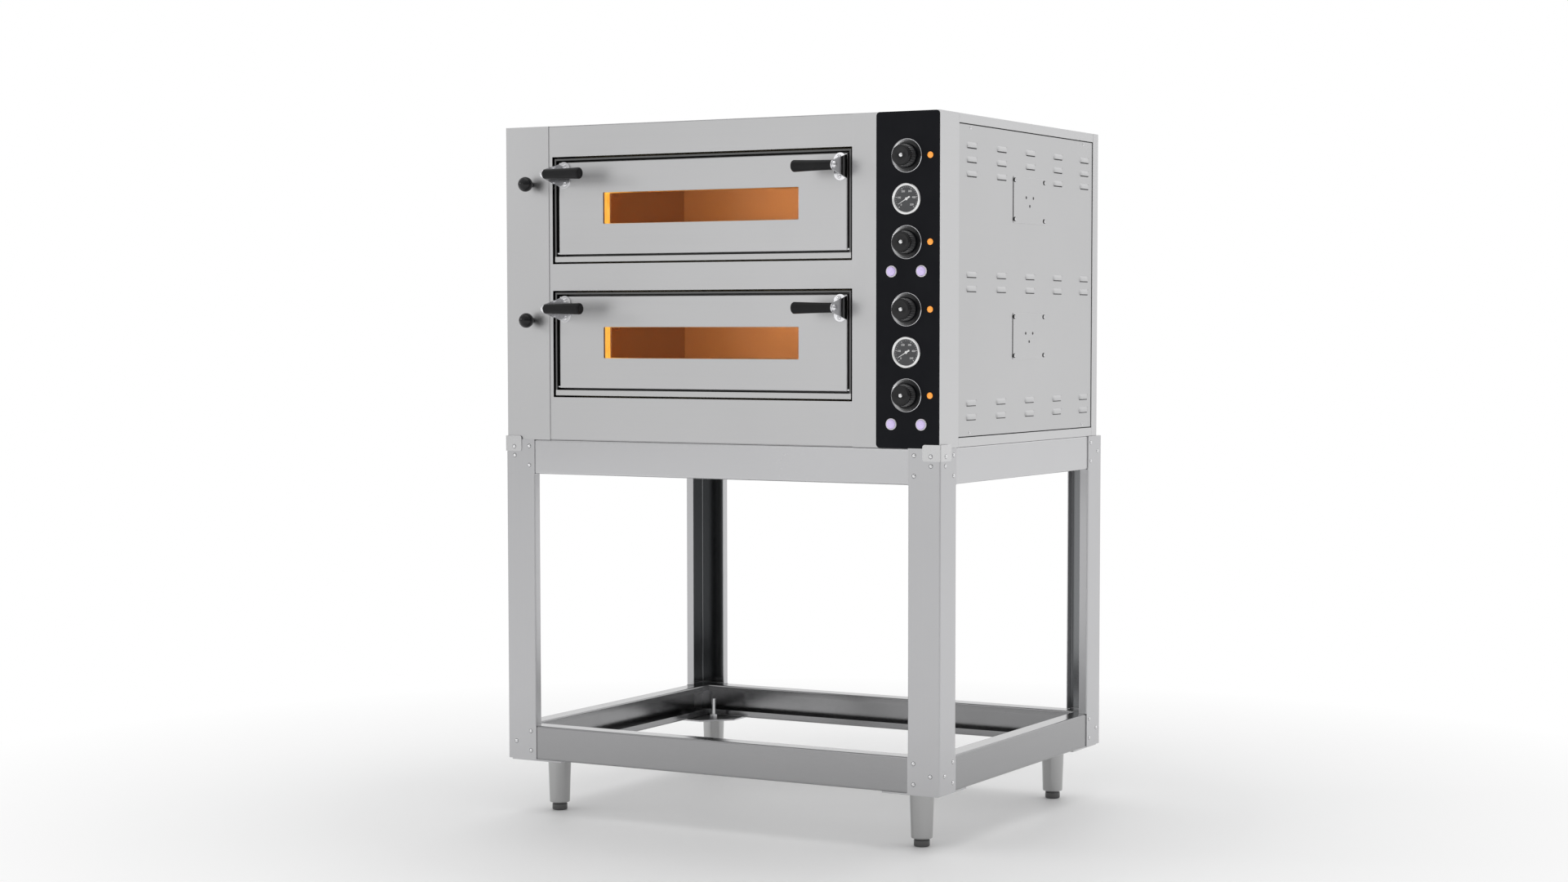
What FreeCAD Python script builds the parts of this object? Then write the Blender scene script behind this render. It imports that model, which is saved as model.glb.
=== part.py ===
"""Two-deck electric pizza oven on an open four-legged stand, in millimetres.

+Z is up, -Y is the front and +X is the right-hand side seen from the front.
The origin is on the floor, under the middle of the whole object.
"""
import FreeCAD
import Part
import Sketcher
import math
import os
import re

SIZES = {
    # oven body
    "body_width": 1074,
    "body_depth": 815,
    "body_height": 690,
    "stand_height": 840,
    "casing_sheet": 1.5,
    "panel_sheet": 1.2,
    "pillar_left_width": 113,
    "pillar_right_width": 201.5,
    "pillar_return": 86.4,
    "rear_return": 30,
    "edge_flange": 19.5,
    "panel_lap": 8,
    "pillar_lap": 12,
    # decks
    "deck_centre": -41,
    "deck_pitch": 293,
    "opening_width": 748,
    "opening_height": 234,
    "lower_opening": 95,
    "frame_gap": 4,
    "frame_wall": 4,
    "frame_recess": 3,
    "frame_depth": 81,
    "frame_sill": 12,
    "seal_lip": 18,
    "seal_thickness": 1.5,
    "seal_width": 8,
    "seal_gap": 0.3,
    "seal_depth": 2,
    "chamber_depth": 454,
    "chamber_sheet": 1.5,
    "stone_thickness": 18,
    "stone_gap": 3,
    "stone_lift": 20,
    "support_width": 16,
    "element_radius": 4,
    "element_clearance": 4,
    "element_spacing": 60,
    "element_pitch": 180,
    "element_length": 400,
    # doors
    "door_recess": 4.5,
    "door_side_gap": 5.6,
    "door_bottom_gap": 3.7,
    "door_top_gap": 3.5,
    "door_sheet": 1.2,
    "door_fold": 12,
    "door_depth": 31.5,
    "window_width": 488,
    "window_height": 68,
    "window_drop": 136,
    "pane_thickness": 4,
    "pane_lap": 12,
    "pane_inset": 2,
    "hinge_inset": 4,
    "hinge_rise": 3.3,
    "hinge_pin_hold": 12,
    "hinge_pin_radius": 2.5,
    "hinge_clearance": 0.3,
    # door handles
    "grip_length": 94,
    "grip_radius": 12.5,
    "grip_root_radius": 10.4,
    "grip_reach": 55,
    "grip_drop": 28.5,
    "bracket_height": 58,
    "bracket_plate_width": 31,
    "bracket_plate": 3,
    "bracket_eye_radius": 10,
    "bracket_screw_radius": 4,
    "bracket_screw_spacing": 40,
    "grip_round": 4,
    "stud_radius": 4,
    "stud_hold": 20,
    "nut_radius": 8,
    "nut_length": 8,
    # controls
    "plate_width": 145,
    "plate_thickness": 1.5,
    "plate_corner": 8,
    "plate_edge": 1,
    "control_inset": 75.7,
    "control_pitch": 314,
    "lower_knob_height": 109,
    "knob_spacing": 176.3,
    "gauge_height": 197.2,
    "lamp_inset": 21.7,
    "button_height": 49.3,
    "button_spacing": 69,
    "bezel_radius": 35,
    "bezel_ring": 2.2,
    "bezel_proud": 1.8,
    "knob_radius": 24,
    "knob_length": 28,
    "knob_gap": 1,
    "shaft_radius": 3,
    "shaft_clearance": 0.4,
    "shaft_reach": 24,
    "thermostat_width": 52,
    "thermostat_depth": 30,
    "gauge_radius": 33,
    "gauge_rim": 6.5,
    "gauge_proud": 4,
    "gauge_floor": 1,
    "pointer_length": 22,
    "pointer_tail": 9,
    "pointer_width": 1.6,
    "pointer_tip": 0.8,
    "pointer_angle": 30,
    "pointer_thickness": 0.8,
    "pointer_hub": 3,
    "pointer_gap": 0.5,
    "lamp_radius": 6.5,
    "lamp_proud": 2.5,
    "lamp_neck_radius": 5.2,
    "lamp_depth": 12,
    "collar_radius": 12,
    "collar_neck_radius": 10.2,
    "collar_wall": 2.5,
    "collar_proud": 3,
    "collar_depth": 16,
    "button_clearance": 0.4,
    "button_proud": 3.5,
    "button_length": 12,
    # vent dampers and flue
    "damper_inset": 69,
    "damper_height": 264,
    "damper_pitch": 299,
    "damper_ball_radius": 16,
    "damper_reach": 42,
    "damper_rod_radius": 4,
    "damper_clearance": 0.5,
    "damper_plate": 2,
    "damper_plate_size": 60,
    "damper_arm": 20,
    "duct_front": 150,
    "duct_depth": 130,
    "duct_width": 76,
    "duct_wall": 1,
    "duct_bottom": 170,
    "duct_drop": 50,
    "port_setback": 90,
    "port_wall": 1.2,
    "port_radius": 22,
    "flue_radius": 35,
    "flue_wall": 1.5,
    "flue_reach": 40,
    "flue_drop": 90,
    "flue_hole_gap": 1,
    "flue_collar_width": 9,
    "flue_collar_sheet": 2,
    # cable gland
    "gland_inset": 97,
    "gland_height": 70,
    "gland_radius": 16,
    "gland_bore": 9,
    "gland_length": 22,
    # insulation above and between the chambers
    "insulation_gap": 2,
    # pressed vents and access covers of the side panels
    "louver_length": 49,
    "louver_height": 11,
    "louver_proud": 4,
    "louver_taper": 3,
    "louver_first": 150.4,
    "louver_pitch": 147.2,
    "louver_row_pitch": 29.5,
    "louver_top_row": 568,
    "louver_middle_row": 329.4,
    "louver_bottom_row": 61.8,
    "cover_centre": 441,
    "cover_length": 170,
    "cover_width": 100,
    "cover_lower": 229.8,
    "cover_pitch": 293.6,
    "cover_sheet": 1.2,
    "cover_screw_inset": 8,
    "panel_screw_radius": 3.5,
    "panel_screw_head": 1.8,
    "panel_screw_front": 143.5,
    "panel_screw_back": 82,
    "panel_screw_low": 28.4,
    "panel_screw_top": 27.5,
    # stand
    "stand_outset": 3.2,
    "stand_rear": 21,
    "stand_sheet": 2,
    "leg_flange": 75,
    "leg_lip": 20,
    "rail_height": 76,
    "rail_flange": 42,
    "rail_lip": 15,
    "rail_gap": 0.5,
    "foot_height": 123.5,
    "foot_plate": 4,
    "foot_plate_size": 132,
    "foot_plate_chamfer": 62,
    "foot_plate_inset": 6,
    "foot_nut_gap": 28.3,
    "foot_top_radius": 26,
    "foot_bottom_radius": 22.8,
    "foot_wall": 2.5,
    "foot_exposed": 17.5,
    "foot_end_radius": 17,
    "foot_stem_radius": 10,
    "foot_stem_length": 60,
    "foot_boss_depth": 30,
    "foot_fit": 0.3,
    "foot_stud_radius": 5,
    "foot_stud_length": 52,
    "foot_nut_radius": 9.7,
    "foot_nut_height": 9,
    "clip_height": 34,
    "clip_rise": 8,
    "clip_front": 41,
    "clip_side": 48,
    "clip_sheet": 1.5,
    "clip_rivet_drop": 16,
    "rivet_radius": 4,
    "rivet_head": 2.2,
    "rivet_edge": 14,
    "rivet_corner": 22,
    "rivet_low": 20,
    "rivet_middle": 39,
    "rivet_high": 63.5,
    "rivet_top_first": 14.5,
    "rivet_top_middle": 35.6,
    "rivet_top_last": 57,
}

# Lengths that follow from the driving sizes.
FORMULAS = {
    "front": "(front_reach - rear_reach) / 2",
    "front_reach": "grip_reach + grip_radius",
    "rear_reach": "body_depth + flue_reach",
    "half": "body_width / 2",
    "base": "stand_height",
    "control_column": "half - control_inset",
    "lamp_column": "half - lamp_inset",
    "damper_column": "damper_inset - half",
    "gland_column": "half - gland_inset",
    "panel_screw_rear": "body_depth - panel_screw_back",
    "panel_screw_high": "body_height - panel_screw_top",
    "duct_top": "body_height - duct_drop",
    "flue_height": "body_height - flue_drop",
    "frame_left": "deck_centre - opening_width / 2 + frame_gap",
    "frame_width": "opening_width - 2 * frame_gap",
    "frame_height": "opening_height - 2 * frame_gap",
    "door_width": "frame_width - 2 * frame_wall - 2 * door_side_gap",
    "door_left": "deck_centre - door_width / 2",
    "door_height": "frame_height - frame_sill - frame_wall - door_bottom_gap - door_top_gap",
    "door_low": "frame_gap + frame_sill + door_bottom_gap",
    "door_face": "front + door_recess",
    "window_low": "door_low + door_height - window_drop",
    "chamber_width": "frame_width - 2 * frame_wall",
    "chamber_height": "frame_height - 2 * frame_wall",
    "chamber_front": "front + frame_depth",
    "grip_level": "door_low + door_height - grip_drop",
    "grip_line": "front - grip_reach",
    "pillar_face": "front - casing_sheet",
    "plate_face": "front - casing_sheet - plate_thickness",
    "stand_half": "half + stand_outset",
    "stand_front": "front - stand_outset",
    "stand_back": "front + body_depth + stand_rear",
    "panel_face": "half - casing_sheet",
    "duct_left": "damper_column - duct_width / 2",
    "plate_left": "half - plate_edge - plate_width",
    "rear_face": "front + body_depth",
    "foot_inset": "stand_sheet + rail_flange + foot_nut_radius + foot_nut_gap",
    "hinge_line": "door_face + hinge_inset",
    "hinge_level": "door_low + hinge_rise",
    "door_back": "door_face + door_depth",
    "seal_front": "door_back + seal_gap",
    "seal_back": "seal_front + seal_depth",
    "chamber_floor": "frame_gap + frame_wall + chamber_sheet",
    "chamber_roof": "frame_gap + frame_height - frame_wall - chamber_sheet",
    "chamber_back": "chamber_front + chamber_depth",
    "stone_bottom": "chamber_floor + stone_lift",
    "door_right": "door_left + door_width",
    "window_left": "deck_centre - window_width / 2",
    "port_line": "duct_face + port_setback",
    "duct_face": "front + duct_front",
}

doc = FreeCAD.newDocument("deck_oven")
sheet = doc.addObject("Spreadsheet::Sheet", "sizes")
for row, (size_name, value) in enumerate(SIZES.items(), start=1):
    sheet.set(f"A{row}", size_name)
    sheet.set(f"B{row}", str(value))
    sheet.setAlias(f"B{row}", size_name)
doc.recompute()

nodes = {}
AXES = {
    "+X": FreeCAD.Rotation(FreeCAD.Vector(0, 1, 0), 90),
    "-X": FreeCAD.Rotation(FreeCAD.Vector(0, 1, 0), -90),
    "+Y": FreeCAD.Rotation(FreeCAD.Vector(1, 0, 0), -90),
    "-Y": FreeCAD.Rotation(FreeCAD.Vector(1, 0, 0), 90),
    "+Z": FreeCAD.Rotation(),
}
ANY_NAME = re.compile(r"[a-z][a-z_]*")


def bind(formula):
    """Point each size name in a formula at its cell, and open up the derived lengths."""
    def cell(match):
        name = match.group(0)
        if name in FORMULAS:
            return "(" + bind(FORMULAS[name]) + ")"
        return f"sizes.{name}" if name in SIZES else name
    return ANY_NAME.sub(cell, str(formula))


def place(item, corner, rotation=None):
    """Turn an object and bind its position to three formulas."""
    if rotation is not None:
        item.Placement = FreeCAD.Placement(FreeCAD.Vector(), rotation)
    for axis, formula in zip("xyz", corner):
        item.setExpression(f".Placement.Base.{axis}", bind(formula))
    return item


def box(name, low, size):
    """A block from its lowest corner and its three lengths."""
    item = doc.addObject("Part::Box", name)
    for side, formula in zip(("Length", "Width", "Height"), size):
        item.setExpression(side, bind(formula))
    return place(item, low)


def rod(name, radius, length, start, axis):
    """A cylinder that leaves its start point along an axis."""
    item = doc.addObject("Part::Cylinder", name)
    item.setExpression("Radius", bind(radius))
    item.setExpression("Height", bind(length))
    return place(item, start, AXES[axis])


def cone(name, radius_start, radius_end, length, start, axis):
    """A cone frustum that leaves its start point along an axis."""
    item = doc.addObject("Part::Cone", name)
    item.setExpression("Radius1", bind(radius_start))
    item.setExpression("Radius2", bind(radius_end))
    item.setExpression("Height", bind(length))
    return place(item, start, AXES[axis])


def ball(name, radius, centre):
    """A sphere about its centre."""
    item = doc.addObject("Part::Sphere", name)
    item.setExpression("Radius", bind(radius))
    return place(item, centre)


def hexagon(name, radius, length, start, axis):
    """A hexagonal prism, such as a nut, that leaves its start point along an axis."""
    item = doc.addObject("Part::Prism", name)
    item.Polygon = 6
    item.setExpression("Circumradius", bind(radius))
    item.setExpression("Height", bind(length))
    return place(item, start, AXES[axis])


def fuse(name, items):
    """One solid from overlapping or touching ones."""
    item = doc.addObject("Part::MultiFuse", name)
    item.Shapes = items
    item.Refine = True
    return item


def cut(name, base, tool):
    """A solid less another."""
    item = doc.addObject("Part::Cut", name)
    item.Base = base
    item.Tool = tool
    return item


def group(name, items):
    """Several separate solids kept as one piece of the list."""
    item = doc.addObject("Part::Compound", name)
    item.Links = items
    return item


def node(name, item):
    """Name a finished sub-part."""
    item.Label = name
    nodes[name] = item
    return item


def sheet_value(formula):
    """The present value of a formula, in millimetres."""
    return float(sheet.evalExpression(bind(formula).replace("sizes.", "")))


def profile_body(name, plane, outline, length, corner, rotation=None):
    """A straight piece of constant section: a closed outline of formula pairs, padded."""
    body = doc.addObject("PartDesign::Body", name)
    origin_plane = next(f for f in body.Origin.OriginFeatures if f.Role == plane)
    sketch = body.newObject("Sketcher::SketchObject", f"{name}_section")
    sketch.AttachmentSupport = [(origin_plane, "")]
    sketch.MapMode = "FlatFace"
    count = len(outline)
    points = [FreeCAD.Vector(sheet_value(u), sheet_value(v), 0) for u, v in outline]
    for index in range(count):
        sketch.addGeometry(Part.LineSegment(points[index], points[(index + 1) % count]), False)
    for index in range(count):
        sketch.addConstraint(Sketcher.Constraint("Coincident", index, 2, (index + 1) % count, 1))
    for index, (u, v) in enumerate(outline):
        for kind, formula in (("DistanceX", u), ("DistanceY", v)):
            value = sheet_value(formula)
            number = sketch.addConstraint(Sketcher.Constraint(kind, -1, 1, index, 1, value))
            sketch.setExpression(f"Constraints[{number}]", bind(formula))
    pad = body.newObject("PartDesign::Pad", f"{name}_length")
    pad.Profile = sketch
    pad.setExpression("Length", bind(length))
    return place(body, corner, rotation)


def frame_ring(name, low, size, wall_side, wall_top, wall_bottom):
    """A rectangular ring standing across Y, with its own wall at the sides, top and bottom."""
    outer = box(f"{name}_outer", low, size)
    inner_low = (f"{low[0]} + {wall_side}", f"{low[1]} - 1", f"{low[2]} + {wall_bottom}")
    inner_size = (f"{size[0]} - 2 * {wall_side}", f"{size[1]} + 2",
                  f"{size[2]} - {wall_top} - {wall_bottom}")
    return cut(name, outer, box(f"{name}_inner", inner_low, inner_size))


# ---------------------------------------------------------------- stand
def leg_corner(index):
    """Formulas for a leg's outer corner; legs go round from the front left, anticlockwise."""
    x = "-(stand_half)" if index in (0, 3) else "stand_half"
    y = "stand_front" if index in (0, 1) else "stand_back"
    return x, y


def leg(index):
    """A lipped angle, with its lips and corner cleared where the rails pass."""
    far, lip, wall = "leg_flange", "leg_lip", "stand_sheet"
    inner = "leg_flange - stand_sheet"
    outline = [("0", "0"), (far, "0"), (far, lip), (inner, lip), (inner, wall),
               (wall, wall), (wall, inner), (lip, inner), (lip, far), ("0", far)]
    x, y = leg_corner(index)
    turn = FreeCAD.Rotation(FreeCAD.Vector(0, 0, 1), 90 * index)
    body = profile_body(f"leg_{index}", "XY_Plane", outline, "base - foot_height",
                        (x, y, "foot_height"), turn)
    notches = []
    for end, level in (("low", "foot_height - 1"), ("high", "base - rail_height - rail_gap")):
        notch = box(f"leg_{index}_notch_{end}", (x, y, level),
                    ("leg_flange", "leg_flange", "rail_height + rail_gap + 1"))
        notch.Placement = FreeCAD.Placement(FreeCAD.Vector(), turn)
        reach_x = "stand_sheet" if index in (0, 3) else "-stand_sheet"
        reach_y = "stand_sheet" if index in (0, 1) else "-stand_sheet"
        notches.append(place(notch, (f"{x} + {reach_x}", f"{y} + {reach_y}", level)))
    return cut(f"leg_{index}_cut", body, group(f"leg_{index}_notches", notches))


node("legs", group("legs_group", [leg(index) for index in range(4)]))


def rail_outline():
    """A channel with returned lips, open inwards: u runs inwards and v upwards."""
    wall, deep, high = "stand_sheet", "rail_flange", "rail_height"
    return [("0", "0"), (deep, "0"), (deep, "rail_lip"), (f"{deep} - {wall}", "rail_lip"),
            (f"{deep} - {wall}", wall), (wall, wall), (wall, f"{high} - {wall}"),
            (f"{deep} - {wall}", f"{high} - {wall}"), (f"{deep} - {wall}", f"{high} - rail_lip"),
            (deep, f"{high} - rail_lip"), (deep, high), ("0", high)]


def rails(name, level):
    """Four channels inside the legs: front and rear run through, the sides stop between them."""
    long_end = "stand_half - stand_sheet - rail_gap"
    side_gap = "stand_sheet + rail_flange + 2 * rail_gap"
    span = f"2 * ({long_end})"
    depth = f"stand_back - stand_front - 2 * ({side_gap})"
    front_turn = FreeCAD.Rotation(FreeCAD.Vector(0, 1, 0), FreeCAD.Vector(0, 0, 1),
                                  FreeCAD.Vector(1, 0, 0), "ZXY")
    rear_turn = FreeCAD.Rotation(FreeCAD.Vector(0, -1, 0), FreeCAD.Vector(0, 0, 1),
                                 FreeCAD.Vector(-1, 0, 0), "ZXY")
    left_turn = FreeCAD.Rotation(FreeCAD.Vector(1, 0, 0), FreeCAD.Vector(0, 0, 1),
                                 FreeCAD.Vector(0, -1, 0), "ZXY")
    right_turn = FreeCAD.Rotation(FreeCAD.Vector(-1, 0, 0), FreeCAD.Vector(0, 0, 1),
                                  FreeCAD.Vector(0, 1, 0), "ZXY")
    places = [
        ("front", front_turn, span, (f"-({long_end})", "stand_front + stand_sheet", level)),
        ("rear", rear_turn, span, (long_end, "stand_back - stand_sheet", level)),
        ("left", left_turn, depth,
         ("-(stand_half) + stand_sheet", f"stand_back - ({side_gap})", level)),
        ("right", right_turn, depth,
         ("stand_half - stand_sheet", f"stand_front + {side_gap}", level)),
    ]
    pieces = [profile_body(f"{name}_{side}", "XY_Plane", rail_outline(), length, corner, turn)
              for side, turn, length, corner in places]
    return group(f"{name}_group", pieces)


node("top_rails", rails("top_rail", "base - rail_height"))
node("bottom_rails", rails("bottom_rail", "foot_height"))


def corner_signs(index):
    """Which way is outwards at a corner: signs of X and Y."""
    return (-1 if index in (0, 3) else 1), (-1 if index in (0, 1) else 1)


def foot_centre(index):
    """Formulas for a foot's axis."""
    x_sign, y_sign = corner_signs(index)
    x = f"{x_sign} * (stand_half - foot_inset)"
    y = "stand_front + foot_inset" if y_sign < 0 else "stand_back - foot_inset"
    return x, y


def foot_plate(index):
    """A chamfered corner plate under the rails, with a hole for the foot's stud."""
    size, chamfer = "foot_plate_size", "foot_plate_size - foot_plate_chamfer"
    outline = [("0", "0"), (size, "0"), (size, chamfer), (chamfer, size), ("0", size)]
    x, y = leg_corner(index)
    x_sign, y_sign = corner_signs(index)
    corner = (f"{x} - {x_sign} * foot_plate_inset", f"{y} - {y_sign} * foot_plate_inset",
              "foot_height - foot_plate")
    turn = FreeCAD.Rotation(FreeCAD.Vector(0, 0, 1), 90 * index)
    body = profile_body(f"foot_plate_{index}", "XY_Plane", outline, "foot_plate", corner, turn)
    hole_x, hole_y = foot_centre(index)
    hole = rod(f"foot_plate_{index}_hole", "foot_stud_radius", "foot_plate + 2",
               (hole_x, hole_y, "foot_height - foot_plate - 1"), "+Z")
    return cut(f"foot_plate_{index}_cut", body, hole)


node("foot_plates", group("foot_plates_group", [foot_plate(index) for index in range(4)]))


def foot_tube(index):
    """A tapered tube closed at the top, with a guide boss for the adjustable end."""
    x, y = foot_centre(index)
    low = "foot_exposed"
    height = "foot_height - foot_plate - foot_exposed"
    outer = cone(f"foot_tube_{index}_outer", "foot_bottom_radius", "foot_top_radius", height,
                 (x, y, low), "+Z")
    hollow = cone(f"foot_tube_{index}_hollow", "foot_bottom_radius - foot_wall",
                  "foot_top_radius - foot_wall", f"{height} - foot_boss_depth - foot_wall",
                  (x, y, f"{low} + foot_boss_depth"), "+Z")
    bore = rod(f"foot_tube_{index}_bore", "foot_stem_radius + foot_fit", "foot_boss_depth + 2",
               (x, y, f"{low} - 1"), "+Z")
    return cut(f"foot_tube_{index}", outer, fuse(f"foot_tube_{index}_inside", [hollow, bore]))


node("foot_tubes", group("foot_tubes_group", [foot_tube(index) for index in range(4)]))


def foot_stud(index):
    """The stud that holds a foot: it stands on the tube's cap, through the plate and the nut."""
    x, y = foot_centre(index)
    cap = "foot_height - foot_plate"
    stud = rod(f"foot_stud_{index}", "foot_stud_radius", "foot_stud_length", (x, y, cap), "+Z")
    nut = hexagon(f"foot_nut_{index}", "foot_nut_radius", "foot_nut_height",
                  (x, y, "foot_height"), "+Z")
    return fuse(f"foot_stud_{index}_set", [stud, nut])


studs = group("foot_studs_group", [foot_stud(index) for index in range(4)])
node("foot_studs", studs)

def foot_end(index):
    """The adjustable end of a foot: a pad on a stem that runs in the tube's boss."""
    x, y = foot_centre(index)
    pad = rod(f"foot_end_{index}_pad", "foot_end_radius", "foot_exposed", (x, y, "0"), "+Z")
    stem = rod(f"foot_end_{index}_stem", "foot_stem_radius", "foot_stem_length",
               (x, y, "foot_exposed"), "+Z")
    return fuse(f"foot_end_{index}", [pad, stem])


FOOT_NAMES = ("front_left", "front_right", "rear_right", "rear_left")
for corner_index, corner_name in enumerate(FOOT_NAMES):
    node(f"foot_end_{corner_name}", foot_end(corner_index))


def corner_clip(side, sign):
    """A bent plate round a front corner, standing above the stand to hold the oven."""
    low = "base + clip_rise - clip_height"
    edge = "stand_half" if sign > 0 else "-(stand_half) - clip_sheet"
    front_x = "stand_half - clip_front" if sign > 0 else "-(stand_half) - clip_sheet"
    face = box(f"clip_{side}_face", (front_x, "stand_front - clip_sheet", low),
               ("clip_front + clip_sheet", "clip_sheet", "clip_height"))
    wing = box(f"clip_{side}_wing", (edge, "stand_front - clip_sheet", low),
               ("clip_sheet", "clip_side + clip_sheet", "clip_height"))
    return fuse(f"clip_{side}", [face, wing])


node("corner_clips", group("corner_clips_group",
                           [corner_clip("left", -1), corner_clip("right", 1)]))


def dome(name, radius, height, start, axis):
    """A low domed head standing on a face: a cone frustum capped by a smaller one."""
    skirt = cone(f"{name}_skirt", radius, f"{radius} * 0.8", f"{height} * 0.6", start, axis)
    sign = 1 if axis[0] == "+" else -1
    letter = "XYZ".index(axis[1])
    lifted = list(start)
    lifted[letter] = f"{start[letter]} + {sign} * {height} * 0.6"
    crown = cone(f"{name}_crown", f"{radius} * 0.8", f"{radius} * 0.35", f"{height} * 0.4",
                 lifted, axis)
    return fuse(name, [skirt, crown])


def rivet(name, start, axis):
    """A stand rivet's head."""
    return dome(name, "rivet_radius", "rivet_head", start, axis)


def stand_rivets(index):
    """The rivet heads of one leg: three per face at the bottom and three at the top."""
    x, y = leg_corner(index)
    x_sign, y_sign = corner_signs(index)
    far = "leg_flange - rivet_edge"
    rows = [(far, "foot_height + rivet_low"), (far, "foot_height + rivet_high"),
            ("rivet_corner", "foot_height + rivet_middle"),
            (far, "base - rivet_top_first"), (far, "base - rivet_top_last"),
            ("rivet_corner", "base - rivet_top_middle")]
    heads = []
    for row_index, (inwards, level) in enumerate(rows):
        front_spot = (f"{x} - {x_sign} * ({inwards})", y, level)
        side_spot = (x, f"{y} - {y_sign} * ({inwards})", level)
        heads.append(rivet(f"rivet_{index}_{row_index}_face", front_spot,
                           "-Y" if y_sign < 0 else "+Y"))
        heads.append(rivet(f"rivet_{index}_{row_index}_side", side_spot,
                           "-X" if x_sign < 0 else "+X"))
    return heads


def clip_rivets(side, sign):
    """One rivet head on each face of a corner clip."""
    level = "base - clip_rivet_drop"
    edge = "stand_half + clip_sheet" if sign > 0 else "-(stand_half) - clip_sheet"
    front_spot = (f"{sign} * (stand_half - rivet_corner)", "stand_front - clip_sheet", level)
    side_spot = (edge, "stand_front + rivet_corner", level)
    return [rivet(f"clip_rivet_{side}_face", front_spot, "-Y"),
            rivet(f"clip_rivet_{side}_side", side_spot, "-X" if sign < 0 else "+X")]


rivets = clip_rivets("left", -1) + clip_rivets("right", 1)
for corner_index in range(4):
    rivets += stand_rivets(corner_index)
node("stand_rivets", group("stand_rivets_group", rivets))


# ---------------------------------------------------------------- casing
def side_flange(name, x, low, high):
    """A strip in the plane of the casing's outer sheet, between the two corner returns."""
    return box(name, (x, "front + pillar_return + 0.5", low),
               ("casing_sheet", "body_depth - pillar_return - rear_return - 1", f"{high} - ({low})"))


def tray(name, level, flange_low, flange_high):
    """A horizontal sheet with a flange along each side."""
    plate = box(f"{name}_sheet", ("-(panel_face)", "front", level),
                ("2 * (panel_face)", "body_depth - casing_sheet", "casing_sheet"))
    left = side_flange(f"{name}_left", "-(half)", flange_low, flange_high)
    right = side_flange(f"{name}_right", "panel_face", flange_low, flange_high)
    return fuse(name, [plate, left, right])


node("base_pan", tray("base_tray", "base", "base", "base + edge_flange"))
node("top_cover", tray("top_tray", "base + body_height - casing_sheet",
                       "base + body_height - edge_flange", "base + body_height"))


def deck(index, formula):
    """A height on a deck, raised by the deck pitch for the upper one."""
    return f"base + lower_opening + {index} * deck_pitch + {formula}"


openings = [box(f"opening_{index}",
                ("deck_centre - opening_width / 2", "front - 1", deck(index, "0")),
                ("opening_width", "casing_sheet + 2", "opening_height")) for index in range(2)]
fascia = box("fascia_sheet", ("-(half) + pillar_left_width - pillar_lap", "front", "base + casing_sheet"),
             ("body_width - pillar_left_width - pillar_right_width + 2 * pillar_lap",
              "casing_sheet", "body_height - 2 * casing_sheet"))
node("front_fascia", cut("fascia_cut", fascia, group("openings", openings)))


def pillar(side, x, width, wing_x):
    """A front corner: a front strip and its return along the side."""
    face = box(f"pillar_{side}_face", (x, "pillar_face", "base"),
               (width, "casing_sheet", "body_height"))
    wing = box(f"pillar_{side}_wing", (wing_x, "pillar_face", "base"),
               ("casing_sheet", "pillar_return + casing_sheet", "body_height"))
    return fuse(f"pillar_{side}", [face, wing])


knob_levels = [f"base + lower_knob_height + {deck_index} * control_pitch + {step} * knob_spacing"
               for deck_index in range(2) for step in range(2)]
gauge_levels = [f"base + gauge_height + {index} * control_pitch" for index in range(2)]
button_spots = [(f"control_column + {side} * button_spacing / 2",
                 f"base + button_height + {index} * control_pitch")
                for index in range(2) for side in (-1, 1)]



def damper_level(index):
    """The height of a deck's vent damper."""
    return f"base + damper_height + {index} * damper_pitch"


damper_holes = [rod(f"damper_hole_{index}", "damper_rod_radius + damper_clearance",
                    "casing_sheet + 2", ("damper_column", "pillar_face - 1", damper_level(index)),
                    "+Y")
                for index in range(2)]
control_holes = []
for index, level in enumerate(knob_levels):
    control_holes.append(rod(f"shaft_hole_{index}", "shaft_radius + shaft_clearance",
                             "plate_thickness + casing_sheet + 2",
                             ("control_column", "plate_face - 1", level), "+Y"))
    control_holes.append(rod(f"lamp_hole_{index}", "lamp_neck_radius",
                             "plate_thickness + casing_sheet + 2",
                             ("lamp_column", "plate_face - 1", level), "+Y"))
for index, (spot_x, level) in enumerate(button_spots):
    control_holes.append(rod(f"button_hole_{index}", "collar_neck_radius",
                             "plate_thickness + casing_sheet + 2",
                             (spot_x, "plate_face - 1", level), "+Y"))
control_holes = group("control_holes", control_holes)

left_pillar = cut("left_pillar_cut", pillar("left", "-(half)", "pillar_left_width", "-(half)"),
                  group("damper_holes", damper_holes))
right_pillar = cut("right_pillar_cut",
                   pillar("right", "half - pillar_right_width", "pillar_right_width", "panel_face"),
                   control_holes)
node("front_pillars", group("pillars_group", [left_pillar, right_pillar]))

rear_sheet = box("rear_sheet", ("-(half)", "rear_face - casing_sheet", "base"),
                 ("body_width", "casing_sheet", "body_height"))
rear_wings = [box(f"rear_wing_{side}", (x, "rear_face - rear_return", "base"),
                  ("casing_sheet", "rear_return", "body_height"))
              for side, x in (("left", "-(half)"), ("right", "panel_face"))]
flue_hole = rod("flue_hole", "flue_radius + flue_hole_gap", "casing_sheet + 2",
                ("damper_column", "rear_face - casing_sheet - 1", "base + flue_height"), "+Y")
gland_hole = rod("gland_hole", "gland_bore + flue_hole_gap", "casing_sheet + 2",
                 ("gland_column", "rear_face - casing_sheet - 1", "base + gland_height"), "+Y")
node("rear_panel", cut("rear_panel_cut", fuse("rear_tray", [rear_sheet] + rear_wings),
                       group("rear_holes", [flue_hole, gland_hole])))

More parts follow.
